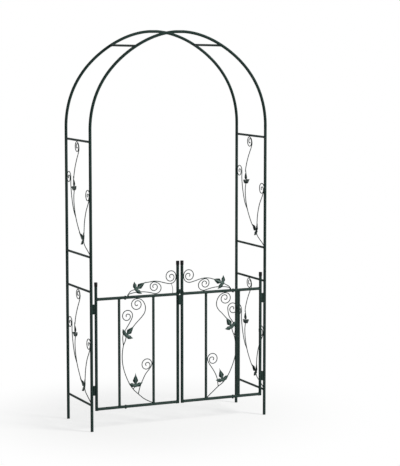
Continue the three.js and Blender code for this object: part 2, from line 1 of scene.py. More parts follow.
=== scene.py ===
# %% [markdown]
# # A garden arch with a gate, dressed in paint
# The part's solids were made in a CAD program: tubes with flat facets, wires and two gate leaves on hinges.
# This lesson loads them as a fixed frame and then builds what the eye sees: round tubes, weld beads, screws,
# stamped ivy leaves and a powder coat. Each visible piece moves with its body and, apart from the screws,
# stands for one solid.

# %% Load the solids
import math

import bpy
import bmesh
from mathutils import Matrix, Vector, geometry, noise


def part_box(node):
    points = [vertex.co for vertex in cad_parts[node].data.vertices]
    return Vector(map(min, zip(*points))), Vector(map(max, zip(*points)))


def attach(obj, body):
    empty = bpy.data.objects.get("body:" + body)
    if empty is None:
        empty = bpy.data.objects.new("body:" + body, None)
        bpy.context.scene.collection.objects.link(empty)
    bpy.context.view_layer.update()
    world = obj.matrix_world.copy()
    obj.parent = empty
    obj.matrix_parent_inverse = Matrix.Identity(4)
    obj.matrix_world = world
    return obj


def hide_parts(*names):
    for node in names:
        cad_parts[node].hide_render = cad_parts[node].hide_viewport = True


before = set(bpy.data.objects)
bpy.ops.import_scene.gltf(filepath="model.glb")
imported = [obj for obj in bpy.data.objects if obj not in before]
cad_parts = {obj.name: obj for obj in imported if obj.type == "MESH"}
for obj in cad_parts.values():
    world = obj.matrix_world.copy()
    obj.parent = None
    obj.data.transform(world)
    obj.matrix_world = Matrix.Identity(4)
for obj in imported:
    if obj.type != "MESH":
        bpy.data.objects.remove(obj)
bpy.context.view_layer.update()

# %% [markdown]
# ## Sizes
# Blender counts in metres and a metalworker counts in millimetres, so each size is written in millimetres
# and multiplied by mm. They are the same sizes that the solids were made from: if one of them were wrong
# here, the paint would float beside its tube. The arch stands a few millimetres towards the back, because
# its box is centred and the latch reaches further forward than anything reaches back.

# %% Sizes of the arch
mm = 0.001
arch_width = 1100 * mm
arch_depth = 384 * mm
post_x = arch_width / 2
post_y = arch_depth / 2
tube_radius = 8.5 * mm
bar_radius = 7.5 * mm
rung_radius = 6.5 * mm
wall = 1 * mm
weld_gap = 0.3 * mm
seat_gap = 0.3 * mm
spigot_slack = 0.4 * mm
spigot_radius = tube_radius - wall - spigot_slack
spigot_length = 20 * mm
neck_length = 3 * mm
bottom_rung = 152 * mm
panel_height = 653 * mm
upper_rung = 1003 * mm
joint_rise = 45 * mm
lower_joint = bottom_rung + panel_height + joint_rise
upper_joint = upper_rung + panel_height + joint_rise
spring_height = upper_joint + 21 * mm
haunch_dip = 10 * mm
hoop_bar_offset = 266 * mm
arch_shift = 4.05 * mm
print("the hoops spring from a height of", round(spring_height / mm), "mm")

# %% Sizes of the gate
bottom_rail = 128 * mm
top_rail = 762 * mm
hinge_stile_top = top_rail + 98 * mm
lock_stile_top = top_rail + 194 * mm
upper_hinge = top_rail - 56 * mm
lower_hinge = bottom_rail + 109 * mm
outer_bar = 380 * mm
inner_bar = 167 * mm
rail_joint = 348 * mm
leaf_gap = 10 * mm
crest_height = 140 * mm
cap_top = 2.5 * mm
barrel_radius = 5.5 * mm
barrel_length = 28 * mm
pin_radius = 2.7 * mm
pin_length = 24 * mm
hinge_x = post_x - tube_radius - weld_gap - barrel_radius
hinge_stile_x = hinge_x - barrel_radius - weld_gap - tube_radius
lock_stile_x = leaf_gap / 2 + tube_radius
gate_y = -post_y + arch_shift
wire_diameter = 5 * mm
wire_seat = weld_gap + wire_diameter / 2
print("a gate leaf is", round((hinge_stile_x - lock_stile_x) / mm), "mm wide between its stiles' centres")

# %% [markdown]
# ## Shapes in mesh code
# Almost everything here is a round section carried along a line, so a few small helpers do most of the
# work. A shape is a pair, its points and its faces. *lofted* joins a row of rings, *turned* spins a profile
# about Z, and *swept* carries a ring along a flat curve. Curve objects with a bevel could do the same, but
# rings in plain code let a tube's end be cut to fit round its neighbour, as a pipe fitter's saddle cut does.

# %% Join, move and mirror shapes
x_axis = Vector((1, 0, 0))
y_axis = Vector((0, 1, 0))
z_axis = Vector((0, 0, 1))


def joined(*shapes):
    points, faces = [], []
    for shape_points, shape_faces in shapes:
        start = len(points)
        points.extend(shape_points)
        faces.extend(tuple(start + i for i in face) for face in shape_faces)
    return points, faces


def moved(shape, matrix):
    return [matrix @ point for point in shape[0]], shape[1]


def mirrored(shape):
    flipped = [Vector((-point.x, point.y, point.z)) for point in shape[0]]
    return flipped, [tuple(reversed(face)) for face in shape[1]]


def axes_at(origin, along, across):
    """A matrix that puts Z on a tube's own line, and X across the neighbour that the tube meets."""
    z = Vector(along).normalized()
    x = Vector(across).normalized()
    matrix = Matrix((x, z.cross(x), z)).transposed().to_4x4()
    matrix.translation = Vector(origin)
    return matrix


print("a shape is a pair: its points, and its faces as tuples of point numbers")


# %% Rings and lofts
def ring(centre, u, v, radius, sides):
    turns = [2 * math.pi * i / sides for i in range(sides)]
    return [centre + u * (radius * math.cos(t)) + v * (radius * math.sin(t)) for t in turns]


def level_ring(centre, radius, sides):
    return ring(centre, x_axis, y_axis, radius, sides)


def lofted(rings, closed=False):
    sides = len(rings[0])
    count = len(rings)
    points = [point for one in rings for point in one]
    faces = []
    for k in range(count if closed else count - 1):
        a = k * sides
        b = ((k + 1) % count) * sides
        for i in range(sides):
            j = (i + 1) % sides
            faces.append((a + i, a + j, b + j, b + i))
    if not closed:
        faces.append(tuple(reversed(range(sides))))
        faces.append(tuple(range((count - 1) * sides, count * sides)))
    return points, faces


def turned(profile, sides=48):
    """Spins (radius, height) corners about Z. A profile that starts on the axis also ends there."""
    on_axis = profile[0][0] == 0
    pinhole = 0.01 * mm
    rings = [level_ring(z_axis * height, max(radius, pinhole), sides) for radius, height in profile]
    return lofted(rings, closed=not on_axis)


print("a washer turned from four corners has", len(turned([(1, 0), (2, 0), (2, 1), (1, 1)])[1]), "faces")


# %% Smooth curves through given points
def smooth_path(points, steps):
    """A centripetal Catmull-Rom curve: it passes through every point and never loops between two of them."""
    ends = [points[0] * 2 - points[1], *points, points[-1] * 2 - points[-2]]
    path = []
    for a, b, c, d in zip(ends, ends[1:], ends[2:], ends[3:]):
        before, between, after = (max((q - p).length, 1e-9) ** 0.5 for p, q in ((a, b), (b, c), (c, d)))
        leave = ((b - a) / before - (c - a) / (before + between) + (c - b) / between) * between
        arrive = ((c - b) / between - (d - b) / (between + after) + (d - c) / after) * between
        for i in range(steps):
            t = i / steps
            path.append(
                b * (2 * t**3 - 3 * t**2 + 1)
                + leave * (t**3 - 2 * t**2 + t)
                + c * (3 * t**2 - 2 * t**3)
                + arrive * (t**3 - t**2)
            )
    path.append(points[-1].copy())
    return path


def heading_at(path, i):
    return (path[min(i + 1, len(path) - 1)] - path[max(i - 1, 0)]).normalized()


def swept(path, radius, side, sides=16):
    """Carries a ring along a flat path and rounds both tips. Side is square on the path's plane."""
    headings = [heading_at(path, i) for i in range(len(path))]
    rings = []
    tip_angles = [math.radians(a) for a in (20, 45, 70)]
    for t in tip_angles:
        start = path[0] - headings[0] * (radius * math.cos(t))
        rings.append(ring(start, side, headings[0].cross(side), radius * math.sin(t), sides))
    for point, heading in zip(path, headings):
        rings.append(ring(point, side, heading.cross(side), radius, sides))
    for t in reversed(tip_angles):
        end = path[-1] + headings[-1] * (radius * math.cos(t))
        rings.append(ring(end, side, headings[-1].cross(side), radius * math.sin(t), sides))
    return lofted(rings)


print("a curve through three points becomes", len(smooth_path([x_axis, y_axis, z_axis], 5)), "points")

# %% Turn a shape into a piece of the object
pieces_made = []


def piece(name, shape, body, nodes, finish, crease=35):
    mesh = bpy.data.meshes.new(name)
    mesh.from_pydata([tuple(point) for point in shape[0]], [], shape[1])
    work = bmesh.new()
    work.from_mesh(mesh)
    bmesh.ops.recalc_face_normals(work, faces=work.faces)
    work.to_mesh(mesh)
    work.free()
    mesh.shade_smooth()
    mesh.set_sharp_from_angle(angle=math.radians(crease))
    mesh.materials.append(finish)
    thing = bpy.data.objects.new(name, mesh)
    bpy.context.collection.objects.link(thing)
    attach(thing, body)
    if nodes:
        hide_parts(*nodes)
    pieces_made.append((thing, nodes))
    return thing


print("ready to make pieces")

# %% [markdown]
# ## Effects that several finishes share
# Powder coat, and the moulded plastic of the caps, share four small effects. Powder melts and flows in the
# oven, which leaves a fine orange peel. Its colour drifts a little from patch to patch. Corners get rubbed,
# and dust settles on what faces the sky. Each effect is a node group, built once, and each material sets its
# own values.

# %% Helpers for node groups
def new_effect(name, inputs, outputs):
    group = bpy.data.node_groups.new(name, "ShaderNodeTree")
    for label, kind, value in inputs:
        socket = group.interface.new_socket(name=label, in_out="INPUT", socket_type=kind)
        if value is not None:
            socket.default_value = value
    for label in outputs:
        group.interface.new_socket(name=label, in_out="OUTPUT", socket_type="NodeSocketFloat")
    entry = group.nodes.new("NodeGroupInput")
    way_out = group.nodes.new("NodeGroupOutput")
    print("effect", name, "gives", outputs)
    return group, entry, way_out


def add_node(tree, kind, values=None, **settings):
    made = tree.nodes.new(kind)
    for key, value in settings.items():
        setattr(made, key, value)
    for key, value in (values or {}).items():
        made.inputs[key].default_value = value
    return made


def connect(tree, *wires):
    """Each wire runs from a node's output to a node's input."""
    for source, output, target, entry in wires:
        tree.links.new(source.outputs[output], target.inputs[entry])


def linear(red, green, blue):
    """A colour as a colour picker shows it, from 0 to 255, turned into the light that shaders use."""
    shares = [c / 255 for c in (red, green, blue)]
    return (*(c / 12.92 if c <= 0.04045 else ((c + 0.055) / 1.055) ** 2.4 for c in shares), 1)


print("a middle grey of 128 is", round(linear(128, 128, 128)[0], 3), "as light")


# %% Orange peel, as a height and as a drift in gloss
def build_orange_peel():
    group, entry, way_out = new_effect(
        "orange_peel",
        [("Place", "NodeSocketVector", None), ("Cells per metre", "NodeSocketFloat", 500)],
        ["Height", "Gloss drift"],
    )
    peel = add_node(group, "ShaderNodeTexNoise", {"Detail": 2, "Roughness": 0.45})
    haze = add_node(group, "ShaderNodeTexNoise", {"Detail": 3, "Roughness": 0.6})
    coarser = add_node(group, "ShaderNodeMath", {1: 0.06}, operation="MULTIPLY")
    connect(
        group,
        (entry, "Place", peel, "Vector"),
        (entry, "Place", haze, "Vector"),
        (entry, "Cells per metre", peel, "Scale"),
        (entry, "Cells per metre", coarser, 0),
        (coarser, 0, haze, "Scale"),
        (peel, "Fac", way_out, "Height"),
        (haze, "Fac", way_out, "Gloss drift"),
    )
    return group


orange_peel = build_orange_peel()


# %% Patches where the colour is a little lighter
def build_colour_drift():
    group, entry, way_out = new_effect(
        "colour_drift",
        [("Place", "NodeSocketVector", None), ("Patches per metre", "NodeSocketFloat", 9)],
        ["Lighter"],
    )
    patches = add_node(group, "ShaderNodeTexNoise", {"Detail": 4, "Roughness": 0.55})
    spread = add_node(group, "ShaderNodeMapRange", {"From Min": 0.35, "From Max": 0.65})
    connect(
        group,
        (entry, "Place", patches, "Vector"),
        (entry, "Patches per metre", patches, "Scale"),
        (patches, "Fac", spread, "Value"),
        (spread, "Result", way_out, "Lighter"),
    )
    return group


colour_drift = build_colour_drift()


# %% A mask broken up by noise, scaled by the effect's amount
def add_broken_mask(group, entry, mask, noise_values, gaps, way_out, label):
    """Takes the node whose Result is the mask, and the noise level at which gaps open and close."""
    breaks = add_node(group, "ShaderNodeTexNoise", noise_values)
    patchy = add_node(group, "ShaderNodeMapRange", {"From Min": gaps[0], "From Max": gaps[1]})
    both = add_node(group, "ShaderNodeMath", operation="MULTIPLY")
    scaled = add_node(group, "ShaderNodeMath", operation="MULTIPLY", use_clamp=True)
    connect(
        group,
        (entry, "Place", breaks, "Vector"),
        (breaks, "Fac", patchy, "Value"),
        (mask, "Result", both, 0),
        (patchy, "Result", both, 1),
        (both, 0, scaled, 0),
        (entry, "Amount", scaled, 1),
        (scaled, 0, way_out, label),
    )
    return group


# %% Corners that hands and boots rub
def build_rubbed_corners():
    group, entry, way_out = new_effect(
        "rubbed_corners",
        [("Place", "NodeSocketVector", None), ("Amount", "NodeSocketFloat", 0.5)],
        ["Rubbed"],
    )
    form = add_node(group, "ShaderNodeNewGeometry")
    corner = add_node(group, "ShaderNodeMapRange", {"From Min": 0.53, "From Max": 0.62})
    connect(group, (form, "Pointiness", corner, "Value"))
    scratches = {"Scale": 240, "Detail": 3, "Roughness": 0.7}
    return add_broken_mask(group, entry, corner, scratches, (0.42, 0.58), way_out, "Rubbed")


rubbed_corners = build_rubbed_corners()


# %% Dust on what faces the sky
def build_settled_dust():
    group, entry, way_out = new_effect(
        "settled_dust",
        [("Place", "NodeSocketVector", None), ("Amount", "NodeSocketFloat", 0.3)],
        ["Dusty"],
    )
    form = add_node(group, "ShaderNodeNewGeometry")
    split = add_node(group, "ShaderNodeSeparateXYZ")
    skyward = add_node(group, "ShaderNodeMapRange", {"From Min": 0.35, "From Max": 1})
    connect(group, (form, "Normal", split, 0), (split, "Z", skyward, "Value"))
    specks = {"Scale": 90, "Detail": 6, "Roughness": 0.75}
    return add_broken_mask(group, entry, skyward, specks, (0.4, 0.62), way_out, "Dusty")


settled_dust = build_settled_dust()

# %% [markdown]
# ## Finishes
# The real tube is steel under a dark green-grey powder coat with a satin gloss. Paint hides the metal, so
# the shader's Metallic stays at zero and the gloss comes from a plain dielectric surface. The alternative, a
# metallic paint with flakes, would sparkle, and the real coat doesn't. The wires and leaves are dipped in
# the same paint, a little thinner. The ridges of the leaves are painted lighter, a painted highlight where
# light catches the stamped relief. The caps are black plastic, matt, with a fine moulded grain.

# %% A finish from the shared effects
def weathered(
    name,
    colour,
    lighter,
    patches,
    rubbed,
    wear,
    dust,
    dustiness,
    peel,
    peel_depth,
    roughness,
    specular,
    gloss_drift=0.05,
    ior=1.5,
):
    finish = bpy.data.materials.new(name)
    finish.use_nodes = True
    tree = finish.node_tree
    shader = tree.nodes["Principled BSDF"]
    shader.inputs["IOR"].default_value = ior
    shader.inputs["Specular IOR Level"].default_value = specular
    place = add_node(tree, "ShaderNodeTexCoord")

    def effect(group, label, value):
        made = add_node(tree, "ShaderNodeGroup", {label: value}, node_tree=group)
        connect(tree, (place, "Object", made, "Place"))
        return made

    drift = effect(colour_drift, "Patches per metre", patches)
    worn = effect(rubbed_corners, "Amount", wear)
    dusty = effect(settled_dust, "Amount", dustiness)
    skin = effect(orange_peel, "Cells per metre", peel)

    base = add_node(tree, "ShaderNodeMix", {6: colour, 7: lighter}, data_type="RGBA")
    with_wear = add_node(tree, "ShaderNodeMix", {7: rubbed}, data_type="RGBA")
    with_dust = add_node(tree, "ShaderNodeMix", {7: dust}, data_type="RGBA")
    gloss_range = {"From Min": 0.3, "From Max": 0.7}
    gloss_range.update({"To Min": roughness - gloss_drift, "To Max": roughness + gloss_drift})
    gloss = add_node(tree, "ShaderNodeMapRange", gloss_range)
    dusty_roughness = 0.85
    dulled = add_node(tree, "ShaderNodeMix", {3: dusty_roughness})
    bump = add_node(tree, "ShaderNodeBump", {"Strength": 1, "Distance": peel_depth})
    connect(
        tree,
        (drift, "Lighter", base, 0),
        (worn, "Rubbed", with_wear, 0),
        (base, 2, with_wear, 6),
        (dusty, "Dusty", with_dust, 0),
        (with_wear, 2, with_dust, 6),
        (with_dust, 2, shader, "Base Color"),
        (skin, "Gloss drift", gloss, "Value"),
        (dusty, "Dusty", dulled, 0),
        (gloss, "Result", dulled, 2),
        (dulled, 0, shader, "Roughness"),
        (skin, "Height", bump, "Height"),
        (bump, "Normal", shader, "Normal"),
    )
    print(name, "has", len(tree.nodes), "nodes")
    return finish


# %% The powder coat of the tubes
tube_coat = weathered(
    "green_grey_powder_coat",
    colour=linear(27, 41, 38),
    lighter=linear(33, 48, 44),
    patches=7,
    rubbed=linear(74, 86, 83),
    wear=0.4,
    dust=linear(108, 110, 102),
    dustiness=0.06,
    peel=260,
    peel_depth=0.02 * mm,
    roughness=0.45,
    specular=0.03,
)

# %% The thinner coat of the wires and leaves
ornament_coat = weathered(
    "dipped_ornament_coat",
    colour=linear(26, 39, 36),
    lighter=linear(32, 46, 43),
    patches=24,
    rubbed=linear(84, 94, 90),
    wear=0.5,
    dust=linear(114, 116, 108),
    dustiness=0.06,
    peel=600,
    peel_depth=0.015 * mm,
    roughness=0.45,
    specular=0.03,
)

# %% The ridges of the leaves, painted lighter as a painted highlight on the stamped relief
# These two colours are a painted highlight: the ridge faces are painted lighter where light would catch the
# relief.
leaf_highlight_coat = weathered(
    "leaf_ridge_painted_highlight",
    colour=linear(46, 62, 58),
    lighter=linear(66, 84, 79),
    patches=60,
    rubbed=linear(90, 100, 96),
    wear=0.4,
    dust=linear(118, 120, 112),
    dustiness=0.08,
    peel=600,
    peel_depth=0.015 * mm,
    roughness=0.4,
    specular=0.15,
)

# %% The black plastic of the caps
cap_plastic = weathered(
    "moulded_black_plastic",
    colour=linear(7, 8, 9),
    lighter=linear(11, 12, 13),
    patches=40,
    rubbed=linear(44, 44, 44),
    wear=0.45,
    dust=linear(96, 95, 90),
    dustiness=0.08,
    peel=1500,
    peel_depth=0.015 * mm,
    roughness=0.52,
    specular=0.15,
    gloss_drift=0.04,
    ior=1.47,
)

# %% [markdown]
# ## Posts
# Each of the four posts is two lengths of tube. The lower length's top is drawn in to a spigot, and the
# upper length is pushed over it, down to a fine groove. The foot is an open tube end. A cylinder would look
# solid from below, so each post is turned from a profile that runs up the outside, over the spigot and down
# the bore.

# %% Tube profiles with small rounded lips
lip = 0.5 * mm
bore = tube_radius - wall
spigot_bore = spigot_radius - wall


def open_foot(start):
    return [(bore, start), (tube_radius - lip, start), (tube_radius, start + lip)]


def open_top(end):
    return [(tube_radius, end - lip), (tube_radius - lip, end), (bore, end)]


def spigot_end(shoulder):
    """The profile from a tube's shoulder, over its spigot, back into its own bore."""
    tip = shoulder + spigot_length
    neck = shoulder - neck_length
    return [
        (tube_radius, shoulder - lip),
        (tube_radius - lip, shoulder),
        (spigot_radius, shoulder),
        (spigot_radius, tip - lip),
        (spigot_radius - lip, tip),
        (spigot_bore, tip),
        (spigot_bore, neck),
        (bore, neck),
    ]


print("a post's spigot is", round(2 * spigot_radius / mm, 1), "mm across")

# %% Stand the posts up
depths = {"front": -1, "back": 1}
corners = {}
for side_name, side in (("left", -1), ("right", 1)):
    for depth_name, depth in depths.items():
        corners[f"{depth_name}_{side_name}"] = Vector((side * post_x, depth * post_y + arch_shift, 0))


def arch_tube(name, shape, node):
    return piece(name, shape, "arch", [node], tube_coat)


for corner_name, place in corners.items():
    stand = Matrix.Translation(place)
    lower = turned(open_foot(0) + spigot_end(lower_joint))
    upper = turned(open_foot(lower_joint + seat_gap) + spigot_end(upper_joint))
    arch_tube(f"lower_post_{corner_name}", moved(lower, stand), f"post_lower_{corner_name}")
    arch_tube(f"upper_post_{corner_name}", moved(upper, stand), f"post_upper_{corner_name}")
print(len(corners), "posts, with joints at", round(lower_joint / mm), "and", round(upper_joint / mm), "mm")

# %% [markdown]
# ## Hoops
# A hoop is one tube bent round, cut at the crown so that the arch packs flat. It lies a little inside a true
# half circle at its shoulders, as rolled tube does near its ends. A torus can't do that, so the path comes
# from a formula and a ring is carried along it, out along the outside of the tube and back along its bore.

# %% The hoop's path
quarter = math.pi / 2
dip_scale = 27 / 4  # because sin^4 times cos^2 is 4/27 at its highest


def hoop_radius(angle):
    return post_x - haunch_dip * dip_scale * math.sin(angle) ** 4 * math.cos(angle) ** 2


def hoop_point(angle):
    radius = hoop_radius(angle)
    return Vector((-radius * math.cos(angle), 0, spring_height + radius * math.sin(angle)))


crown_flat = (spigot_length + neck_length) / post_x
hoop_steps = 84
arc = [hoop_point((quarter - crown_flat) * i / hoop_steps) for i in range(hoop_steps + 1)]
crown_height = arc[-1].z
print("a hoop half is", round(sum((b - a).length for a, b in zip(arc, arc[1:])) / mm), "mm of bent tube")


# %% Half a hoop, with or without the crown's spigot
def hoop_half(with_spigot):
    foot = Vector((-post_x, 0, upper_joint + seat_gap))
    crown = Vector((0 if with_spigot else -seat_gap, 0, crown_height))
    path = [foot, foot + z_axis * lip, *arc, crown - x_axis * lip, crown]
    last = len(path) - 1

    def around(i, radius):
        return ring(path[i], y_axis, heading_at(path, i).cross(y_axis), radius, 48)

    outside = [around(0, tube_radius - lip), *(around(i, tube_radius) for i in range(1, last))]
    outside.append(around(last, tube_radius - lip))
    inside = [around(i, bore) for i in range(last - 1, -1, -1)]
    if not with_spigot:
        return lofted([*outside, around(last, bore), *inside], closed=True)
    steps = [(0, spigot_radius), (spigot_length - lip, spigot_radius), (spigot_length, spigot_radius - lip)]
    steps += [(spigot_length, spigot_bore), (-neck_length, spigot_bore), (-neck_length, bore)]
    spigot = [ring(crown + x_axis * x, y_axis, x_axis.cross(y_axis), radius, 48) for x, radius in steps]
    return lofted([*outside, *spigot, *inside[1:]], closed=True)


# %% Hang the hoops over the posts
for depth_name, depth in depths.items():
    shift = Matrix.Translation((0, depth * post_y + arch_shift, 0))
    left_half = moved(hoop_half(True), shift)
    right_half = moved(mirrored(hoop_half(False)), shift)
    arch_tube(f"left_hoop_{depth_name}", left_half, f"hoop_{depth_name}_left")
    arch_tube(f"right_hoop_{depth_name}", right_half, f"hoop_{depth_name}_right")
print("the crown joint is", round(crown_height / mm, 1), "mm above the ground")

# %% [markdown]
# ## Rungs and cross bars, with their weld beads
# Thinner tubes tie the front frame to the back one. Each end is cut to a saddle that fits round its
# neighbour and is welded all round. A boolean cut would give the same saddle, but with the ring's own points
# moved along the tube it is exact and clean. The bead is a thin roll that follows the saddle's edge, and its
# ripples are the small pools that a welder leaves one after the other.

# %% Saddled tubes
def saddle_ring(radius, height, direction, gap=weld_gap, sides=48):
    """A ring round Z whose points lie a gap away from a tube that crosses at this height."""
    points = []
    for i in range(sides):
        turn = 2 * math.pi * i / sides
        offset = radius * math.cos(turn)
        retreat = math.sqrt(max((tube_radius + gap) ** 2 - offset**2, 0))
        points.append(Vector((offset, radius * math.sin(turn), height + direction * retreat)))
    return points


def saddled_tube(span, radius):
    ends = [(radius, 0, 1), (radius, span, -1), (radius - wall, span, -1), (radius - wall, 0, 1)]
    return lofted([saddle_ring(*end) for end in ends], closed=True)


print("a rung is cut", round((arch_depth - 2 * tube_radius) / mm), "mm long, between the posts")

# %% A weld bead round a saddle
bead_size = 1.3 * mm
ripple_pitch = 2.1 * mm
bead_sides = 144


def saddle_bead(radius, height, direction, size=bead_size):
    loop = saddle_ring(radius + size * 0.25, height, direction, gap=size * 0.3, sides=bead_sides)
    ripples = round(2 * math.pi * radius / ripple_pitch)
    rings = []
    for i, point in enumerate(loop):
        turn = 2 * math.pi * i / bead_sides
        along = (loop[(i + 1) % bead_sides] - loop[i - 1]).normalized()
        outward = Vector((math.cos(turn), math.sin(turn), 0))
        u = (outward - along * outward.dot(along)).normalized()
        swell = 1 + 0.1 * math.sin(ripples * turn) + 0.12 * noise.noise(point * 900)
        rings.append(ring(point, u, along.cross(u), size * swell, 8))
    return lofted(rings, closed=True)


def welded_between(span, radius):
    return joined(saddled_tube(span, radius), saddle_bead(radius, 0, 1), saddle_bead(radius, span, -1))


print("a rung's bead has", round(2 * math.pi * rung_radius / ripple_pitch), "ripples")

# %% Weld the rungs in
rung_heights = {
    "bottom": bottom_rung,
    "lower": bottom_rung + panel_height,
    "upper": upper_rung,
    "top": upper_rung + panel_height,
}
for side_name, side in (("left", -1), ("right", 1)):
    for level, height in rung_heights.items():
        start = (side * post_x, gate_y, height)
        rung = moved(welded_between(arch_depth, rung_radius), axes_at(start, y_axis, x_axis))
        arch_tube(f"{level}_rung_{side_name}", rung, f"rung_{level}_{side_name}")
print(2 * len(rung_heights), "rungs, all welded at both ends")

# %% Weld the cross bars between the hoops
first_guess = math.acos(hoop_bar_offset / post_x)
bar_angle = math.acos(hoop_bar_offset / hoop_radius(first_guess))
half_seat = 4 * tube_radius / post_x  # for this angle on either side, the solid hoop runs straight
seat_ends = [hoop_point(bar_angle - half_seat), hoop_point(bar_angle + half_seat)]
seat = (seat_ends[0] + seat_ends[1]) / 2
outwards = (seat_ends[1] - seat_ends[0]).normalized().cross(y_axis) * -1
for side_name, side in (("left", 1), ("right", -1)):
    start = (seat.x * side, gate_y, seat.z)
    radial = (outwards.x * side, 0, outwards.z)
    bar = moved(welded_between(arch_depth, rung_radius), axes_at(start, y_axis, radial))
    arch_tube(f"cross_bar_{side_name}", bar, f"hoop_bar_{side_name}")
print("the cross bars are", round(seat.z / mm), "mm above the ground")

# %% [markdown]
# ## Screws in the tube joints
# A small pan-head screw goes through each spigot joint. It sits on the side that faces into the trellis,
# where nobody brushes past it. The head is a low dome with a cross recess: a grid of points whose height
# drops inside the cross, which shades better than a dark cross painted on.

# %% A pan head with a cross recess
recess_reach = 0.56  # this and the half width are shares of the head's radius
recess_half_width = 0.15
recess_depth = 0.55  # a share of the head's height
dome_fall = 0.82  # at one, the dome would fall to nothing at its rim
head_root = 1 * mm


def screw_head(radius, height, sides=64, circles=14):
    rings = []
    for k in range(circles + 1):
        reach = max(radius * k / circles, 0.02 * mm)
        points = []
        for i in range(sides):
            turn = 2 * math.pi * i / sides
            x, y = reach * math.cos(turn), reach * math.sin(turn)
            dome = height * math.sqrt(max(1 - (reach / radius) ** 2 * dome_fall, 0))
            arm = min(max(abs(x), abs(y)) / (radius * recess_reach), 1)
            across = min(abs(x), abs(y)) / (radius * recess_half_width)
            depth = height * recess_depth * max(0, 1 - arm**4) if across < 1 and arm < 1 else 0
            points.append(Vector((x, y, dome - depth)))
        rings.append(points)
    rings.append([Vector((p.x, p.y, -head_root)) for p in rings[-1]])
    return lofted(rings)


print("a screw head has", len(screw_head(1, 1)[1]), "faces")

# %% Drive the screws of the posts and the crown
screw_rise = 10 * mm
screw_seat = tube_radius - 0.3 * mm
pan_radius = 3.3 * mm
pan_height = 1.9 * mm


def screw_at(name, place, outward, upward):
    shape = moved(screw_head(pan_radius, pan_height), axes_at(place, outward, upward))
    return piece(name, shape, "arch", [], tube_coat, crease=40)


for corner_name, place in corners.items():
    inward = Vector((0, 1 if "front" in corner_name else -1, 0))
    surface = place + inward * screw_seat
    for joint_name, height in (("middle", lower_joint), ("top", upper_joint)):
        spot = surface + Vector((0, 0, height + screw_rise))
        screw_at(f"{joint_name}_screw_{corner_name}", spot, inward, z_axis)
for depth_name, depth in depths.items():
    inward = Vector((0, -depth, 0))
    centre = Vector((screw_rise, depth * post_y + arch_shift, crown_height))
    screw_at(f"crown_screw_{depth_name}", centre + inward * screw_seat, inward, x_axis)
print("screws so far:", len([thing for thing, nodes in pieces_made if "screw" in thing.name]))

# %% [markdown]
# ## Curls and ivy leaves
# The ornaments are bent from thin wire, and stamped steel ivy leaves are welded where the stems meet. Every
# curl follows one rule: it stays wide for a third of its turns, and then draws in to a small round end. The
# leaf is a polar grid: each circle of the grid is the leaf's outline made smaller, so each lobe can be
# pressed into a soft ridge with a fine vein along it. A flat extruded outline would give the same shadow,
# but nothing for the light to catch. The leaf lies in front of the wires, because it is welded on their
# outer side.

# %% The curl's rule
curl_end_radius = 9 * mm
curl_steps_per_turn = 10
wide_share = 0.36
drawn_in_share = 0.8


def curl(centre, radius, start_angle, turns):
    steps = round(turns * curl_steps_per_turn)
    points = []
    for i in range(steps + 1):
        share = min(max((i / steps - wide_share) / (drawn_in_share - wide_share), 0), 1)
        drawn_in = share * share * (3 - 2 * share)
        reach = radius + (curl_end_radius - radius) * drawn_in
        angle = start_angle + 2 * math.pi * turns * i / steps
        points.append(Vector((centre.x + reach * math.cos(angle), centre.y + reach * math.sin(angle), 0)))
    return points


def spots(shares, width, height):
    return [Vector((across * width, up * height, 0)) for across, up in shares]


def bent_wire(points, diameter=wire_diameter):
    return swept(smooth_path(points, 5), diameter / 2, z_axis, sides=12)


print("a curl of one turn has", len(curl(x_axis, 1, 0, 1)), "points before it is smoothed")

# %% The ivy leaf's outline, from its tip down one side to its base
leaf_reach = 42 * mm
leaf_half = [
    (0, 1.6),
    (0.045, 1.36),
    (0.09, 1.2),
    (0.2, 0.98),
    (0.245, 0.9),
    (0.3, 0.75),
    (0.385, 0.54),
    (0.4, 0.46),
    (0.34, 0.36),
    (0.22, 0.2),
    (0.155, 0.1),
    (0.2, 0.07),
    (0.27, 0.1),
    (0.4, 0.16),
    (0.54, 0.22),
    (0.7, 0.17),
    (0.86, 0.17),
    (1.05, 0.18),
    (0.93, 0.02),
    (0.85, -0.08),
    (0.76, -0.22),
    (0.66, -0.27),
    (0.55, -0.38),
    (0.42, -0.4),
    (0.3, -0.35),
    (0.12, -0.42),
]
print("the leaf is", round(2 * max(x for x, y in leaf_half) * leaf_reach / mm), "mm wide")

# %% Ridges and veins of the stamping
main_ribs = [((0, -0.4), (0, 1.5)), ((0, -0.2), (1, 0.16)), ((0, -0.2), (-1, 0.16))]
low_ribs = [((0, -0.22), (0.58, -0.33)), ((0, -0.22), (-0.58, -0.33))]
small_veins = [((0, 0.3), (0.33, 0.5)), ((0, 0.62), (0.22, 0.88)), ((0.42, -0.06), (0.56, 0.18))]
small_veins += [((-a, b), (-c, d)) for (a, b), (c, d) in small_veins]
ridge_height = 4.2 * mm
vein_height = 0.6 * mm
# Ribs, then the ridge's width, height and fall towards its tip, and the vein's width and height, as shares
rib_kinds = [(main_ribs, 0.2, 1, 0.35, 0.04, 1), (low_ribs, 0.14, 0.7, 0.5, 0.035, 0.7)]


def near(x, y, rib, width):
    """One on the rib's line, falling to nothing beside it, and the share of the way along the rib."""
    (x0, y0), (x1, y1) = rib
    run = Vector((x1 - x0, y1 - y0))
    share = min(max(((x - x0) * run.x + (y - y0) * run.y) / run.length_squared, 0), 1)
    away = math.hypot(x - x0 - run.x * share, y - y0 - run.y * share)
    return math.exp(-((away / width) ** 2)), share


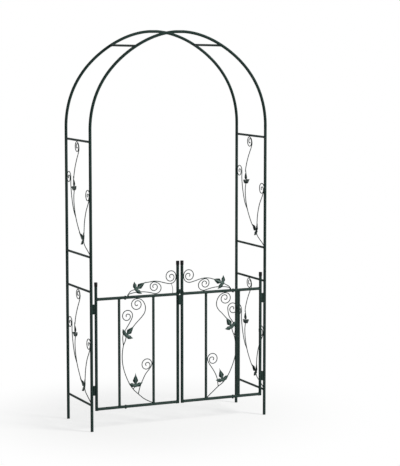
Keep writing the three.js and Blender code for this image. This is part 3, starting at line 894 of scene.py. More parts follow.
def ridge_and_vein(x, y):
    ridge = vein = 0
    for ribs, ridge_width, high, fall, vein_width, vein_high in rib_kinds:
        for rib in ribs:
            close, share = near(x, y, rib, ridge_width)
            ridge = max(ridge, high * close * (1 - fall * share))
            vein = max(vein, vein_high * near(x, y, rib, vein_width)[0])
    for rib in small_veins:
        vein = max(vein, 0.55 * near(x, y, rib, 0.03)[0])
    return ridge, vein


print("the stamping has", len(main_ribs) + len(low_ribs), "ridges and", len(small_veins), "small veins")


# %% Stamp a leaf, with the faces on its ridges last, as they get the painted highlight
leaf_lift = 1.2 * mm
sheet_half = 0.6 * mm
rim_drop = 1.1 * mm
# Faces above this share of a ridge's height get the painted highlight.
bright_ridge = 0.62  # a face counts as one on a ridge from this share of the ridge's height
leaf_middle = Vector((0, -0.05, 0))
smallest_circle = 0.004


def leaf_outline(cuts=3):
    outline = [Vector((x, y, 0)) for x, y in leaf_half]
    outline += [Vector((-p.x, p.y, 0)) for p in reversed(outline[1:])]
    fine = []
    for a, b in zip(outline, outline[1:] + outline[:1]):
        fine.extend(a.lerp(b, k / cuts) for k in range(cuts))
    return fine


def stamped_leaf(circles=20):
    outline = leaf_outline()
    sheets = {1: [], -1: []}
    for face_side in sheets:
        for k in range(circles + 1):
            share = max(k / circles, smallest_circle)
            points = []
            for p in outline:
                q = leaf_middle.lerp(p, share)
                ridge, vein = ridge_and_vein(q.x, q.y)
                height = leaf_lift + ridge * ridge_height + vein * vein_height - rim_drop * share**4
                height += face_side * sheet_half
                points.append(Vector((q.x * leaf_reach, q.y * leaf_reach, height)))
            sheets[face_side].append(points)
    points, faces = lofted(sheets[1] + list(reversed(sheets[-1])))
    dull, bright = [], []
    for face in faces:
        place = sum((points[i] for i in face), Vector((0, 0, 0))) / (len(face) * leaf_reach)
        on_ridge = ridge_and_vein(place.x, place.y)[0] > bright_ridge
        (bright if on_ridge else dull).append(face)
    return (points, dull + bright), len(bright)


leaf_shape, bright_faces = stamped_leaf()
print("a leaf has", len(leaf_shape[1]), "faces, of which", bright_faces, "lie on ridges")

# %% A tack weld, where a wire touches a tube or a leaf
tack_circles = 8
tack_sides = 16
tack_lumps = 0.16  # as a share of its size
tack_flatness = 0.8


def tack(place, size=2.3 * mm):
    rings = []
    for k in range(tack_circles + 1):
        lift = math.pi * k / tack_circles
        points = []
        for i in range(tack_sides):
            turn = 2 * math.pi * i / tack_sides
            way = Vector((math.sin(lift) * math.cos(turn), math.sin(lift) * math.sin(turn), math.cos(lift)))
            way *= size * (1 + tack_lumps * noise.noise(place * 300 + way * 1.7))
            points.append(place + Vector((way.x, way.y, way.z * tack_flatness)))
        rings.append(points)
    for end in (0, -1):
        rings[end] = level_ring(rings[end][0], 0.02 * mm, tack_sides)
    return lofted(rings)


print("a tack weld has", len(tack(Vector((0, 0, 0)))[1]), "faces")


# %% A leaf on its wires
tip_share = 1.3
base_share = -0.2
leaf_tack_depth = 1.6 * mm
leaf_tack_size = 2.6 * mm


def along_leaf(centre, axis_angle, share):
    return centre + Vector((math.cos(axis_angle), math.sin(axis_angle), 0)) * (leaf_reach * share)


def leaf_on_wires(centre, axis_angle):
    """The leaf, with a tack behind its tip and one behind its base."""
    tacks = []
    for share in (tip_share, base_share):
        behind = along_leaf(centre, axis_angle, share) + Vector((0, 0, leaf_tack_depth))
        tacks.append(tack(behind, leaf_tack_size))
    turn = Matrix.Rotation(axis_angle - quarter, 4, "Z")
    return joined(*tacks, moved(leaf_shape, Matrix.Translation(centre) @ turn))


def paint_leaf_ridge_highlights(scroll_piece, leaves):
    """The leaves are a scroll's last faces, and the ridges of a leaf are its last faces. The ridges get the
    painted highlight.
    """
    mesh = scroll_piece.data
    mesh.materials.append(leaf_highlight_coat)
    faces_each = len(leaf_on_wires(Vector((0, 0, 0)), 0)[1])
    for i in range(leaves):
        end = len(mesh.polygons) - i * faces_each
        for polygon in mesh.polygons[end - bright_faces : end]:
            polygon.material_index = 1


print("wires meet a leaf", round((tip_share - base_share) * leaf_reach / mm), "mm apart")

# %% [markdown]
# ## Ivy scrolls in the trellis sides
# One scroll fills each trellis panel: a crown curl hangs from the rung above, one curl leans on the back
# post and one on the front post, and all three stems meet near the foot. The wires lie in one plane, so the
# scroll is drawn flat, with its own left-to-right and up, and then stood in its panel.

# %% Draw the trellis scroll
curl_radius = 31 * mm
curl_turns = 1.65


def trellis_scroll():
    width, height = arch_depth, panel_height
    upper, lower = spots([(-0.165, 0.578), (0.185, 0.141)], width, height)
    upper_way, lower_way = 1.69, 2.6
    face = post_y - tube_radius - wire_seat
    crown_radius = 28 * mm
    crown = Vector((-0.04 * width, height - rung_radius - wire_seat - crown_radius, 0))
    back_curl = curl(Vector((0, 0.663 * height, 0)), curl_radius, 0, curl_turns)
    reach = min(p.x for p in back_curl)
    back_curl = [p - Vector((face + reach, 0, 0)) for p in back_curl]
    front = Vector((face - curl_radius, 0.532 * height, 0))
    foot = Vector((face, rung_radius + wire_seat, 0))
    crown_stem = [(-0.178, 0.68), (-0.13, 0.755), (-0.055, 0.83), (0.02, 0.893), (0.045, 0.93), (0.02, 0.968)]
    main_stem = [(-0.188, 0.5), (-0.172, 0.41), (-0.112, 0.318), (-0.036, 0.25)]
    foot_stem = [(0.236, 0.097), (0.32, 0.066), (0.405, 0.04)]
    back_stem = [(-0.112, 0.318), (-0.18, 0.36), (-0.235, 0.42), (-0.285, 0.51), (-0.312, 0.6)]
    front_stem = [(0.215, 0.13), (0.226, 0.2), (0.248, 0.29), (0.31, 0.385), (0.405, 0.464)]
    wires = [
        [
            along_leaf(upper, upper_way, tip_share),
            *spots(crown_stem, width, height),
            *curl(crown, crown_radius, quarter, curl_turns),
        ],
        [
            along_leaf(upper, upper_way, base_share),
            *spots(main_stem, width, height),
            along_leaf(lower, lower_way, tip_share),
            lower,
            *spots(foot_stem, width, height),
            foot,
        ],
        [*spots(back_stem, width, height), *back_curl],
        [*spots(front_stem, width, height), *curl(front, curl_radius, 0, curl_turns)],
    ]
    back_touch = min(back_curl, key=lambda p: p.x)
    tacks = [
        crown + Vector((0, crown_radius + 1 * mm, 0)),
        back_touch - Vector((1.2 * mm, 0, 0)),
        Vector((face + 1 * mm, front.y, 0)),
        foot + Vector((1 * mm, -1 * mm, 0)),
    ]
    shapes = [bent_wire(points) for points in wires] + [tack(p) for p in tacks]
    return joined(*shapes, leaf_on_wires(upper, upper_way), leaf_on_wires(lower, lower_way))


scroll = trellis_scroll()
print("a trellis scroll has", len(scroll[1]), "faces")


# %% Stand a scroll in every panel, with its leaves on the arch's outer side
def flat_to_world(origin, across, up):
    out = Vector(across).cross(Vector(up))
    matrix = Matrix((Vector(across), Vector(up), out)).transposed().to_4x4()
    matrix.translation = Vector(origin)
    return matrix


for side_name in ("left", "right"):
    for level, height in (("lower", bottom_rung), ("upper", upper_rung)):
        shape = moved(scroll, flat_to_world((-post_x, arch_shift, height), -y_axis, z_axis))
        if side_name == "right":
            shape = mirrored(shape)
        name = f"ivy_scroll_{level}_{side_name}"
        made = piece(name, shape, "arch", [f"side_scroll_{level}_{side_name}"], ornament_coat)
        paint_leaf_ridge_highlights(made, 2)
print("four scrolls, each", round(panel_height / mm), "mm high between its rungs")

# %% [markdown]
# ## The gate's tube frames
# A gate leaf is a ladder of tube: a hinge stile, a lock stile, two rails and two thinner bars. The rails are
# cut in two near the hinge side, so the leaf fits its box, and the short end carries a spigot like the posts
# do. The frame is built once, as the left leaf's, and mirrored for the right, because the factory welds both
# in the same jig.

# %% Stiles and rails
rail_bead_size = 1.6 * mm


def stile_tube(top):
    return turned(open_foot(bottom_rail - tube_radius) + open_top(top - cap_top - seat_gap))


def rail_piece(end_profile):
    """A rail piece along its own Z: a welded saddle at the stile, and this profile at its other end."""
    rings = [saddle_ring(tube_radius, 0, 1)]
    rings += [level_ring(z_axis * height, radius, 48) for radius, height in end_profile]
    rings.append(saddle_ring(bore, 0, 1))
    return joined(lofted(rings, closed=True), saddle_bead(tube_radius, 0, 1, rail_bead_size))


short_span = hinge_stile_x - rail_joint
long_span = rail_joint - lock_stile_x - seat_gap
print("the rails' short ends are", round(short_span / mm), "mm long")

# %% Put shapes on the leaves
gate_sides = {"left": lambda shape: shape, "right": mirrored}


def gate_piece(name, nodes, shape, side_name, finish=tube_coat, crease=35):
    """Takes a shape drawn in the left leaf's place and puts it on one of the leaves."""
    placed_shape = gate_sides[side_name](shape)
    return piece(f"{name}_{side_name}", placed_shape, f"{side_name}_leaf", nodes, finish, crease)


def on_gate(x, height):
    return Vector((x, gate_y, height))


print("the left leaf's shapes serve", len(gate_sides), "leaves")

# %% Hang both leaves' frames
rail_bolt_in = 6 * mm
bolt_ends = [(-1, 5.6 * mm, 5 * mm), (1, 4.6 * mm, 3 * mm)]  # the head below the rail, the bolt's end above

for side_name in gate_sides:
    hinge_stile = moved(stile_tube(hinge_stile_top), Matrix.Translation(on_gate(-hinge_stile_x, 0)))
    gate_piece("hinge_stile", [f"gate_{side_name}_hinge_stile"], hinge_stile, side_name)
    for level, height in (("bottom", bottom_rail), ("top", top_rail)):
        hinge_end = axes_at(on_gate(-hinge_stile_x, height), x_axis, y_axis)
        lock_end = axes_at(on_gate(-lock_stile_x, height), -x_axis, y_axis)
        short = moved(rail_piece(spigot_end(short_span)), hinge_end)
        long = moved(rail_piece(open_top(long_span)), lock_end)
        gate_piece(f"{level}_rail_hinge_end", [f"gate_{side_name}_{level}_rail_short"], short, side_name)
        gate_piece(f"{level}_rail_lock_end", [f"gate_{side_name}_{level}_rail_long"], long, side_name)
        bolt = []
        for way, radius, rise in bolt_ends:
            spot = on_gate(-rail_joint + rail_bolt_in, height + way * screw_seat)
            bolt.append(moved(screw_head(radius, rise), axes_at(spot, z_axis * way, x_axis)))
        gate_piece(f"{level}_rail_screw", [], joined(*bolt), side_name, crease=40)
    for place_name, x in (("outer", outer_bar), ("inner", inner_bar)):
        stand = axes_at(on_gate(-x, bottom_rail), z_axis, y_axis)
        bar = moved(welded_between(top_rail - bottom_rail, bar_radius), stand)
        gate_piece(f"{place_name}_bar", [f"gate_{side_name}_{place_name}_bar"], bar, side_name)
print("a leaf's bars stand", round(outer_bar / mm), "and", round(inner_bar / mm), "mm from the gate's middle")

# %% [markdown]
# ## Ivy scrolls in the gate
# The gate repeats the trellis scroll's idea with a crown curl, an outer curl and an inner curl in the middle
# bay, and a low crest with one leaf on the top rail. They are drawn flat from the outer bar towards the lock
# stile.

# %% Where the wires of the two bays run
# In shares of the bay's width and height. Both scrolls were bent by hand, so they differ a little.
bay_forms = {
    "left": {
        "leaves": [(0.227, 0.662, 0.83), (0.467, 0.199, 1.57)],
        "crown": 0.508,
        "crown_stem": [
            (0.51, 0.765), (0.62, 0.8), (0.72, 0.838), (0.765, 0.875),
            (0.76, 0.915), (0.7, 0.955), (0.61, 0.978),
        ],
        "main_stem": [
            (0.184, 0.611), (0.124, 0.564), (0.097, 0.515), (0.085, 0.455), (0.1, 0.39), (0.16, 0.31),
            (0.27, 0.222), (0.4, 0.154), (0.55, 0.106), (0.71, 0.06), (0.86, 0.031),
        ],
        "stalk_foot": (0.4, 0.154),
        "outer_stem": [
            (0.124, 0.564), (0.108, 0.6), (0.104, 0.641), (0.135, 0.68), (0.195, 0.71), (0.31, 0.77),
        ],
        "outer_curl": (0.245, 0.833),
        "inner_stem": [(0.55, 0.106), (0.6, 0.17), (0.675, 0.228), (0.77, 0.287), (0.9, 0.338)],
    },
    "right": {
        "leaves": [(0.241, 0.67, 1.01), (0.503, 0.179, 1.27)],
        "crown": 0.406,
        "crown_stem": [
            (0.51, 0.792), (0.616, 0.827), (0.675, 0.865),
            (0.675, 0.905), (0.61, 0.95), (0.51, 0.976),
        ],
        "main_stem": [
            (0.195, 0.62), (0.14, 0.573), (0.105, 0.515), (0.09, 0.455), (0.11, 0.385), (0.181, 0.308),
            (0.304, 0.219), (0.475, 0.144), (0.627, 0.109), (0.798, 0.062), (0.9, 0.034),
        ],
        "stalk_foot": (0.475, 0.144),
        "outer_stem": [(0.14, 0.573), (0.112, 0.62), (0.125, 0.672), (0.205, 0.715), (0.29, 0.757)],
        "outer_curl": (0.195, 0.833),
        "inner_stem": [(0.627, 0.109), (0.66, 0.185), (0.72, 0.235), (0.8, 0.28), (0.91, 0.335)],
    },
}
print("the left bay's main stem has", len(bay_forms["left"]["main_stem"]), "points from its leaf to its foot")


# %% Draw a bay's scroll
def bay_scroll(form):
    width, height = outer_bar - inner_bar, top_rail - bottom_rail
    (upper, upper_way), (lower, lower_way) = (
        (Vector((across * width, up * height, 0)), way) for across, up, way in form["leaves"]
    )
    rail_face = height - tube_radius - wire_seat
    bar_face = width - bar_radius - wire_seat
    crown = Vector((form["crown"] * width, rail_face - curl_radius, 0))
    outer = spots([form["outer_curl"]], width, height)[0]
    inner = Vector((bar_face - curl_radius, 0.374 * height, 0))
    foot = Vector((bar_face, tube_radius + wire_seat, 0))
    wires = [
        [
            along_leaf(upper, upper_way, tip_share),
            *spots(form["crown_stem"], width, height),
            *curl(crown, curl_radius, quarter, curl_turns),
        ],
        [along_leaf(upper, upper_way, base_share), *spots(form["main_stem"], width, height), foot],
        [along_leaf(lower, lower_way, base_share), *spots([form["stalk_foot"]], width, height)],
        [*spots(form["outer_stem"], width, height), *curl(outer, curl_radius, -0.3, curl_turns)],
        [*spots(form["inner_stem"], width, height), *curl(inner, curl_radius, 0, curl_turns)],
    ]
    tacks = [
        crown + Vector((0, curl_radius + 1 * mm, 0)),
        Vector((bar_face + 1 * mm, inner.y, 0)),
        foot + Vector((1 * mm, -1 * mm, 0)),
    ]
    outer_curl_touches_bar = outer.x - curl_radius < bar_radius + 2 * wire_seat
    if outer_curl_touches_bar:
        tacks.append(outer - Vector((curl_radius + 1 * mm, 0, 0)))
    shapes = [bent_wire(points) for points in wires] + [tack(p) for p in tacks]
    return joined(*shapes, leaf_on_wires(upper, upper_way), leaf_on_wires(lower, lower_way))


bay_drawings = {side_name: bay_scroll(form) for side_name, form in bay_forms.items()}
print("the bays' scrolls have", [len(faces) for points, faces in bay_drawings.values()], "faces")

# %% Draw the crests, of which only the left one has a strut
crest_forms = {
    "left": {"leaf": (0.311, 0.346, 0.576), "stalk": [(0.17, 0.16), (0.208, 0.255)], "strut": True},
    "right": {"leaf": (0.318, 0.367, 0.42), "stalk": [(0.178, 0.18), (0.245, 0.275)], "strut": False},
}
lower_stem = [(0.163, 0.12), (0.22, 0.16), (0.3, 0.188), (0.42, 0.188), (0.53, 0.145)]
tail = [(0.7, 0.14), (0.728, 0.25), (0.725, 0.385), (0.685, 0.5)]
upper_stem = [
    (0.52, 0.575), (0.61, 0.6), (0.7, 0.57), (0.8, 0.5),
    (0.9, 0.455), (0.965, 0.53), (0.99, 0.65),
]
strut_top = [(0.912, 0.455), (0.935, 0.25)]
low_curl_radius = 25 * mm
low_curl_turns = 1.4
stalk_tack_size = 5.2 * mm
strut_diameter = 3 * mm


def crest_scroll(form):
    width, height = outer_bar - lock_stile_x - tube_radius, crest_height
    across, up, leaf_way = form["leaf"]
    leaf = Vector((across * width, up * height, 0))
    rail_face = tube_radius + wire_seat
    low_curl = Vector((0.61 * width, 0.39 * height, 0))
    high_curl = Vector((width - wire_seat - curl_radius, 0.765 * height, 0))
    rail_touch = Vector((0.64 * width, rail_face, 0))
    stalk_root = Vector((0.155 * width, rail_face, 0))
    wires = [
        [stalk_root, *spots(form["stalk"], width, height), along_leaf(leaf, leaf_way, base_share)],
        [
            *spots(lower_stem, width, height),
            rail_touch,
            *spots(tail, width, height),
            *curl(low_curl, low_curl_radius, quarter, low_curl_turns),
        ],
        [
            along_leaf(leaf, leaf_way, tip_share),
            *spots(upper_stem, width, height),
            *curl(high_curl, curl_radius, 0, curl_turns),
        ],
    ]
    shapes = [bent_wire(points) for points in wires]
    shapes.append(tack(rail_touch - Vector((0, 1.2 * mm, 0))))
    shapes.append(tack(Vector((width - wire_seat + 1 * mm, high_curl.y, 0))))
    shapes.append(tack(stalk_root + Vector((0, 0.8 * mm, 0)), stalk_tack_size))
    if form["strut"]:
        strut_foot = Vector((0.935 * width, tube_radius + weld_gap + strut_diameter / 2, 0))
        shapes.append(bent_wire([*spots(strut_top, width, height), strut_foot], strut_diameter))
        shapes.append(tack(strut_foot - Vector((0, 0.8 * mm, 0)), 1.9 * mm))
    return joined(*shapes, leaf_on_wires(leaf, leaf_way))


crest_drawings = {side_name: crest_scroll(form) for side_name, form in crest_forms.items()}
print("the crests' scrolls have", [len(faces) for points, faces in crest_drawings.values()], "faces")


# %% Put the scrolls on the leaves
def gate_scroll(name, drawing, height, side_name, leaves):
    shape = moved(drawing, flat_to_world(on_gate(-outer_bar, height), x_axis, z_axis))
    nodes = [f"gate_{side_name}_{name}"]
    paint_leaf_ridge_highlights(gate_piece(name, nodes, shape, side_name, ornament_coat), leaves)


for side_name in gate_sides:
    gate_scroll("bay_scroll", bay_drawings[side_name], bottom_rail, side_name, 2)
    gate_scroll("crest_scroll", crest_drawings[side_name], top_rail, side_name, 1)
print("the crest rises", round(crest_height / mm), "mm above the top rail")

# %% [markdown]
# ## Caps
# A moulded cap closes each stile and keeps rain out. It is turned from one profile: a rounded top, a straight
# skirt with a thin rim, and a hollow inside that the tube fills.

# %% Turn and fit the caps
cap_radius = 9.75 * mm
cap_height = 24 * mm
cap_rounding = 1.6 * mm
cap_rim = 0.3 * mm


def stile_cap():
    hollow = tube_radius + seat_gap
    inside = [(0, -cap_top), (hollow, -cap_top), (hollow, -cap_height)]
    rim = [(cap_radius - cap_rim, -cap_height), (cap_radius, -cap_height + cap_rim)]
    shoulder = []
    for i in range(7):
        turn = quarter * i / 6
        out = cap_radius - cap_rounding + cap_rounding * math.cos(turn)
        shoulder.append((out, -cap_rounding + cap_rounding * math.sin(turn)))
    return turned([*inside, *rim, *shoulder, (cap_radius * 0.5, 0), (0, 0)])


stile_tops = {"hinge": (hinge_stile_x, hinge_stile_top), "lock": (lock_stile_x, lock_stile_top)}
for side_name in gate_sides:
    for stile_name, (x, top) in stile_tops.items():
        cap = moved(stile_cap(), Matrix.Translation(on_gate(-x, top)))
        nodes = [f"gate_{side_name}_{stile_name}_cap"]
        gate_piece(f"{stile_name}_cap", nodes, cap, side_name, cap_plastic)
print("a cap is", round(2 * cap_radius / mm, 1), "mm across")

# %% [markdown]
# ## Hinges
# A hinge is a short round stud with a pin on the post, and a barrel on the stile that drops over the pin.
# Both are welded on along their sides. The gate can be lifted off, as on many garden gates.

# %% A weld along the line where two tubes stand side by side
side_weld_steps = 60
weld_low = 4 * mm  # a hinge's side welds run between these distances from its middle
weld_high = 25 * mm


def side_weld(x, y, low, high, size=1.4 * mm):
    rings = []
    for k in range(side_weld_steps + 1):
        share = k / side_weld_steps
        height = low + (high - low) * share
        swell = 1 + 0.12 * math.sin((high - low) * share / ripple_pitch * 2 * math.pi)
        swell *= min(1, 0.35 + 4 * min(share, 1 - share) ** 0.6)
        rings.append(level_ring(Vector((x, y, height)), size * swell, 12))
    return lofted(rings)


print("a hinge's side weld has", round((weld_high - weld_low) / ripple_pitch), "ripples")

# %% Studs and barrels
hinge_edge = 0.4 * mm
pin_chamfer = 0.8 * mm
pin_slack = 0.3 * mm
side_weld_offset = 2.9 * mm


def hinge_stud():
    low = -barrel_length - seat_gap / 2
    high = -seat_gap / 2
    profile = [(0, low), (barrel_radius - hinge_edge, low), (barrel_radius, low + hinge_edge)]
    profile += [(barrel_radius, high - hinge_edge), (barrel_radius - hinge_edge, high), (pin_radius, high)]
    profile += [(pin_radius, pin_length - pin_chamfer), (pin_radius - pin_chamfer, pin_length)]
    return turned([*profile, (0, pin_length)])


def hinge_barrel():
    low = seat_gap / 2
    high = low + barrel_length
    hole = pin_radius + pin_slack
    profile = [(barrel_radius - hinge_edge, low), (barrel_radius, low + hinge_edge)]
    profile += [(barrel_radius, high - hinge_edge), (barrel_radius - hinge_edge, high)]
    return turned([*profile, (hole, high), (hole, low)])


def with_side_welds(shape, contact, low, high):
    welds = [side_weld(contact, y, low, high) for y in (side_weld_offset, -side_weld_offset)]
    return joined(shape, *welds)


contact_line = barrel_radius + weld_gap / 2
stud = with_side_welds(hinge_stud(), -contact_line, -weld_high, -weld_low)
barrel = with_side_welds(hinge_barrel(), contact_line, weld_low, weld_high)
for side_name, turn_over in gate_sides.items():
    for level, height in (("upper", upper_hinge), ("lower", lower_hinge)):
        stand = Matrix.Translation(on_gate(-hinge_x, height))
        post_half = turn_over(moved(stud, stand))
        arch_tube(f"{level}_hinge_stud_{side_name}", post_half, f"hinge_pin_{level}_{side_name}")
        nodes = [f"hinge_barrel_{level}_{side_name}"]
        gate_piece(f"{level}_hinge_barrel", nodes, moved(barrel, stand), side_name)
print("the leaves turn about lines", round(2 * hinge_x / mm, 1), "mm apart")

# %% [markdown]
# ## The latch
# A flat bar hangs from a rivet in a lug on the left lock stile. To lock the gate, it is swung over until its
# notch drops on the stud of the right lock stile. Bar and lug are cut from flat strip, so they are drawn as
# outlines and given a thickness and a small bevel. The rivet's head is a low dome, spread by a hammer.

# %% Flat plates from outlines
def inset(outline, amount):
    moved_in = []
    for i, point in enumerate(outline):
        before, after = outline[i - 1], outline[(i + 1) % len(outline)]
        first, second = (point - before).normalized(), (after - point).normalized()
        inward = Vector((-(first.y + second.y), first.x + second.x, 0)).normalized()
        stretch = max(inward.dot(Vector((-first.y, first.x, 0))), 0.5)
        moved_in.append(point + inward * (amount / stretch))
    return moved_in


def plate(outline, hole, thickness, bevel):
    """Outline and hole both run counter-clockwise. The plate fills z from 0 to its thickness."""
    levels = [(bevel, 0), (0, bevel), (0, thickness - bevel), (bevel, thickness)]
    outer = [[p + z_axis * z for p in inset(outline, amount)] for amount, z in levels]
    inner = [[p + z_axis * z for p in hole] for _, z in levels]
    points, faces = [], []
    for rings in (outer, inner):
        start = len(points)
        sides = len(rings[0])
        points += [p for one in rings for p in one]
        for k in range(len(rings) - 1):
            for i in range(sides):
                j = (i + 1) % sides
                a, b = start + k * sides, start + (k + 1) * sides
                faces.append((a + i, a + j, b + j, b + i))
    inner_start = len(outline) * len(levels)
    for k in (0, len(levels) - 1):
        index = [k * len(outline) + i for i in range(len(outline))]
        index += [inner_start + k * len(hole) + i for i in range(len(hole))]
        for triangle in geometry.tessellate_polygon([outer[k], inner[k]]):
            faces.append(tuple(index[i] for i in triangle))
    return points, faces


def arc_points(centre, radius, start, end, steps):
    turns = [start + (end - start) * i / steps for i in range(steps + 1)]
    return [Vector((centre[0] + radius * math.cos(t), centre[1] + radius * math.sin(t), 0)) for t in turns]


print("a half circle in four steps has", len(arc_points((0, 0), 1, 0, math.pi, 4)), "points")

# %% The latch bar's outline
plate_thickness = 3 * mm
lug_sink = 1 * mm
pivot_slack = 0.3 * mm
lug_back = tube_radius - lug_sink
lug_front = lug_back + plate_thickness
latch_back = lug_front + pivot_slack
latch_front = latch_back + plate_thickness
latch_height = top_rail + 17 * mm
latch_half = 9 * mm
latch_drop = 78 * mm
latch_edge = leaf_gap / 2 - 0.8 * mm  # bar and lug stop short of the right leaf's stile
latch_x = latch_edge - latch_half
rivet_radius = 3 * mm
stud_radius = 3 * mm
stud_drop = lock_stile_x - latch_x
notch_radius = stud_radius + 0.4 * mm
notch_flare = 2.6 * mm


def latch_outline():
    outline = arc_points((0, 0), latch_half, 0, math.pi, 28)
    outline.append(Vector((-latch_half, notch_radius + notch_flare - stud_drop, 0)))
    outline.append(Vector((-stud_radius, notch_radius - stud_drop, 0)))
    outline += arc_points((0, -stud_drop), notch_radius, quarter, -quarter, 16)
    outline.append(Vector((-latch_half, -notch_radius - stud_drop, 0)))
    outline += arc_points((0, latch_half - latch_drop), latch_half, math.pi, 2 * math.pi, 28)
    return outline


print("the latch's notch is", round(stud_drop / mm, 1), "mm below its rivet")

# %% The lug's outline, a small plate with round corners
lug_left = latch_x - 13 * mm
lug_corner = 2.2 * mm
lug_half_height = 12 * mm


def lug_outline():
    outline = []
    for x, z, start in ((1, 1, 0), (-1, 1, 1), (-1, -1, 2), (1, -1, 3)):
        edge = latch_edge if x > 0 else lug_left
        centre = (edge - latch_x - x * lug_corner, z * (lug_half_height - lug_corner))
        outline += arc_points(centre, lug_corner, start * quarter, (start + 1) * quarter, 6)
    return outline


print("the lug is", round((latch_edge - lug_left) / mm, 1), "mm wide")

# %% Rivet and stud, turned about a line that points to the front
def front_stud(radius, head_radius, head_height):
    """A shank from the lug's back to just in front of the latch, with a domed head."""
    start = latch_front + pivot_slack
    steps = [(0, lug_back), (radius, lug_back), (radius, start), (head_radius, start)]
    for i in range(1, 9):
        turn = quarter * i / 9
        height = start + 0.35 * head_height + 0.65 * head_height * math.sin(turn)
        steps.append((head_radius * math.cos(turn), height))
    return moved(turned([*steps, (0, steps[-1][1])]), Matrix.Rotation(quarter, 4, "X"))


print("the rivet's shank is", round((latch_front + pivot_slack - lug_back) / mm, 1), "mm long")

# %% Fit the latch on its rivet
pivot = on_gate(latch_x, latch_height)
pivot_plane = flat_to_world(pivot, x_axis, z_axis)
rivet_hole = arc_points((0, 0), rivet_radius + pivot_slack, 0, 2 * math.pi, 40)[:-1]
bar_plate = plate(latch_outline(), rivet_hole, plate_thickness, 0.5 * mm)
bar = moved(bar_plate, pivot_plane @ Matrix.Translation((0, 0, latch_back)))
piece("latch_bar_plate", bar, "latch", ["latch_bar"], tube_coat, crease=30)
rivet = moved(front_stud(rivet_radius, 5.5 * mm, 2.5 * mm), Matrix.Translation(pivot))
piece("latch_rivet_domed", rivet, "left_leaf", ["latch_rivet"], tube_coat)
print("the latch bar is", round((latch_drop + latch_half) / mm), "mm long")

# %% The lock stiles, the left one with the lug and the right one with the keeper stud
lock_stile = moved(stile_tube(lock_stile_top), Matrix.Translation(on_gate(-lock_stile_x, 0)))
lug_plate = plate(lug_outline(), rivet_hole, plate_thickness, 0.4 * mm)
lug = moved(lug_plate, pivot_plane @ Matrix.Translation((0, 0, lug_back)))
lug_weld_half = 10 * mm
lug_weld = side_weld(0, 0, -lug_weld_half, lug_weld_half, bead_size)
lug_welds = []
for x in (-4.6 * mm, 4 * mm):
    beside_stile = Vector((x - lock_stile_x, gate_y - 7.5 * mm, latch_height))
    lug_welds.append(moved(lug_weld, Matrix.Translation(beside_stile)))
gate_piece("lock_stile", ["gate_left_lock_stile"], joined(lock_stile, lug, *lug_welds), "left", crease=30)

keeper_drop = stud_radius + 0.3 * mm  # below the rivet
keeper_place = on_gate(-lock_stile_x, latch_height - keeper_drop)
keeper = moved(front_stud(stud_radius, 5 * mm, 2 * mm), Matrix.Translation(keeper_place))
gate_piece("lock_stile", ["gate_right_lock_stile"], joined(lock_stile, keeper), "right", crease=30)
print("pieces made:", len(pieces_made))

# %% [markdown]
# ## Camera
# The camera stands where the photographer stood: in front, to the left, a little above eye level, and far
# enough away that the arch's back frame looks nearly as large as its front one. The place was found by
# matching about forty joints and ends of the solids to the photograph. Moving closer with a shorter lens
# would make the left side loom, so the long lens matters more than it seems to.

# %% Place the camera
yaw = math.radians(24.698)
pitch = math.radians(6.57)
camera = bpy.data.objects.new("camera", bpy.data.cameras.new("camera"))
camera.data.sensor_width = 36
camera.data.lens = 137.8
camera.data.clip_start = 0.5
camera.data.clip_end = 60
camera.location = (-4.1661, -9.5303 + arch_shift, 2.2945)
camera.rotation_euler = (quarter - pitch, 0, -yaw)
bpy.context.collection.objects.link(camera)
bpy.context.scene.camera = camera
bpy.context.scene.view_settings.view_transform = "Standard"
print("the camera is", round(camera.location.length, 2), "m from the middle of the arch's foot")

# %% [markdown]
# ## Light and ground
# The sky is a pale grey for the object, so the round tubes get a soft edge light, and plain white for the
# camera. One broad lamp from the upper right front makes the long highlights of the photograph. The ground is
# a disc that shows its shadow near the arch and fades to white, so there is no horizon line.

# %% White wherever a background is seen
def white_where_seen(tree):
    """A node that gives one for rays straight from the camera, or by way of gloss or glass."""
    seen = add_node(tree, "ShaderNodeLightPath")
    either = add_node(tree, "ShaderNodeMath", operation="MAXIMUM")
    any_of_them = add_node(tree, "ShaderNodeMath", operation="MAXIMUM")
    connect(
        tree,
        (seen, "Is Camera Ray", either, 0),
        (seen, "Is Glossy Ray", either, 1),
        (either, 0, any_of_them, 0),
        (seen, "Is Transmission Ray", any_of_them, 1),
    )
    return any_of_them


print("the sky and the ground both turn white where they are seen")

# %% The sky
world = bpy.data.worlds.new("sky")
world.use_nodes = True
bpy.context.scene.world = world
sky = world.node_tree
sky.nodes.clear()
lit = add_node(sky, "ShaderNodeBackground", {"Color": (0.94, 0.98, 1, 1), "Strength": 0.36})
white = add_node(sky, "ShaderNodeBackground", {"Color": (1, 1, 1, 1), "Strength": 1})
choice = add_node(sky, "ShaderNodeMixShader")
sky_out = add_node(sky, "ShaderNodeOutputWorld")
connect(
    sky,
    (white_where_seen(sky), 0, choice, 0),
    (lit, 0, choice, 1),
    (white, 0, choice, 2),
    (choice, 0, sky_out, 0),
)
print("sky strength for the object:", lit.inputs["Strength"].default_value)

# %% The ground disc
ground_reach = 5.0
ground_sides = 96
ground_mesh = bpy.data.meshes.new("ground")
edge = level_ring(z_axis * (-0.5 * mm), ground_reach, ground_sides)
ground_mesh.from_pydata([tuple(point) for point in edge], [], [tuple(range(ground_sides))])
ground = bpy.data.objects.new("ground", ground_mesh)
bpy.context.collection.objects.link(ground)
print("the ground reaches", ground_reach, "m")

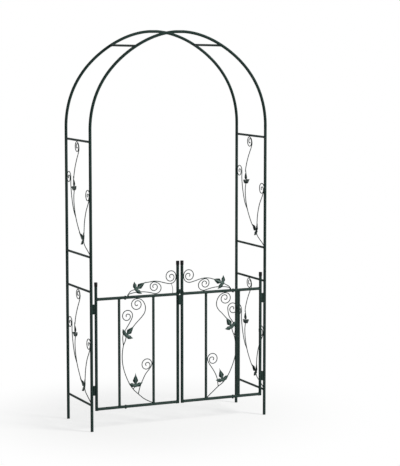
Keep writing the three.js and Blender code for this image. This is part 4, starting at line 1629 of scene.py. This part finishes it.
# %% The ground's paint, which fades to white away from the arch
ground_paint = bpy.data.materials.new("pale_ground")
ground_paint.use_nodes = True
tree = ground_paint.node_tree
surface = tree.nodes["Principled BSDF"]
surface.inputs["Base Color"].default_value = (0.82, 0.82, 0.82, 1)
surface.inputs["Roughness"].default_value = 0.9
place = add_node(tree, "ShaderNodeTexCoord")
away = add_node(tree, "ShaderNodeVectorMath", operation="LENGTH")
fade_range = {"From Min": 0.4, "From Max": 1.4, "To Min": 0.6, "To Max": 1}
fade = add_node(tree, "ShaderNodeMapRange", fade_range, interpolation_type="SMOOTHSTEP")
shown = add_node(tree, "ShaderNodeMath", operation="MULTIPLY")
glow = add_node(tree, "ShaderNodeEmission", {"Color": (1, 1, 1, 1), "Strength": 1})
mixed = add_node(tree, "ShaderNodeMixShader")
connect(
    tree,
    (place, "Object", away, 0),
    (away, "Value", fade, "Value"),
    (fade, "Result", shown, 0),
    (white_where_seen(tree), 0, shown, 1),
    (shown, 0, mixed, 0),
    (surface, 0, mixed, 1),
    (glow, 0, mixed, 2),
    (mixed, 0, tree.nodes["Material Output"], "Surface"),
)
ground_mesh.materials.append(ground_paint)
print("the ground's paint has", len(tree.nodes), "nodes")

# %% The lamp
lamp = bpy.data.lights.new("broad_lamp", "AREA")
lamp.shape = "DISK"
lamp.size = 3.5
lamp.energy = 1300
lamp.color = (1, 0.985, 0.96)
lamp_stand = bpy.data.objects.new("broad_lamp", lamp)
lamp_stand.location = (6.0, -6.5, 6.0)
lamp_target = z_axis * 1.1
lamp_stand.rotation_euler = (lamp_target - lamp_stand.location).to_track_quat("-Z", "Y").to_euler()
bpy.context.collection.objects.link(lamp_stand)
print("lamp power:", lamp.energy, "W")

# %% [markdown]
# ## Check the pieces against the solids
# Every piece should fill the box of the solid that it replaces, give or take a weld bead.

# %% Compare boxes
def box_of(thing):
    corners_seen = [thing.matrix_world @ v.co for v in thing.data.vertices]
    low = Vector([min(c[i] for c in corners_seen) for i in range(3)])
    high = Vector([max(c[i] for c in corners_seen) for i in range(3)])
    return low, high


bpy.context.view_layer.update()
differences = []
for thing, nodes in pieces_made:
    if not nodes:
        continue
    low, high = box_of(thing)
    node_low, node_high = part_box(nodes[0])
    off = max(abs(a - b) for a, b in zip([*low, *high], [*node_low, *node_high]))
    differences.append((round(off / mm, 2), thing.name))
print("largest box differences in mm:", sorted(differences, reverse=True)[:8])
print(len(pieces_made), "pieces are ready")
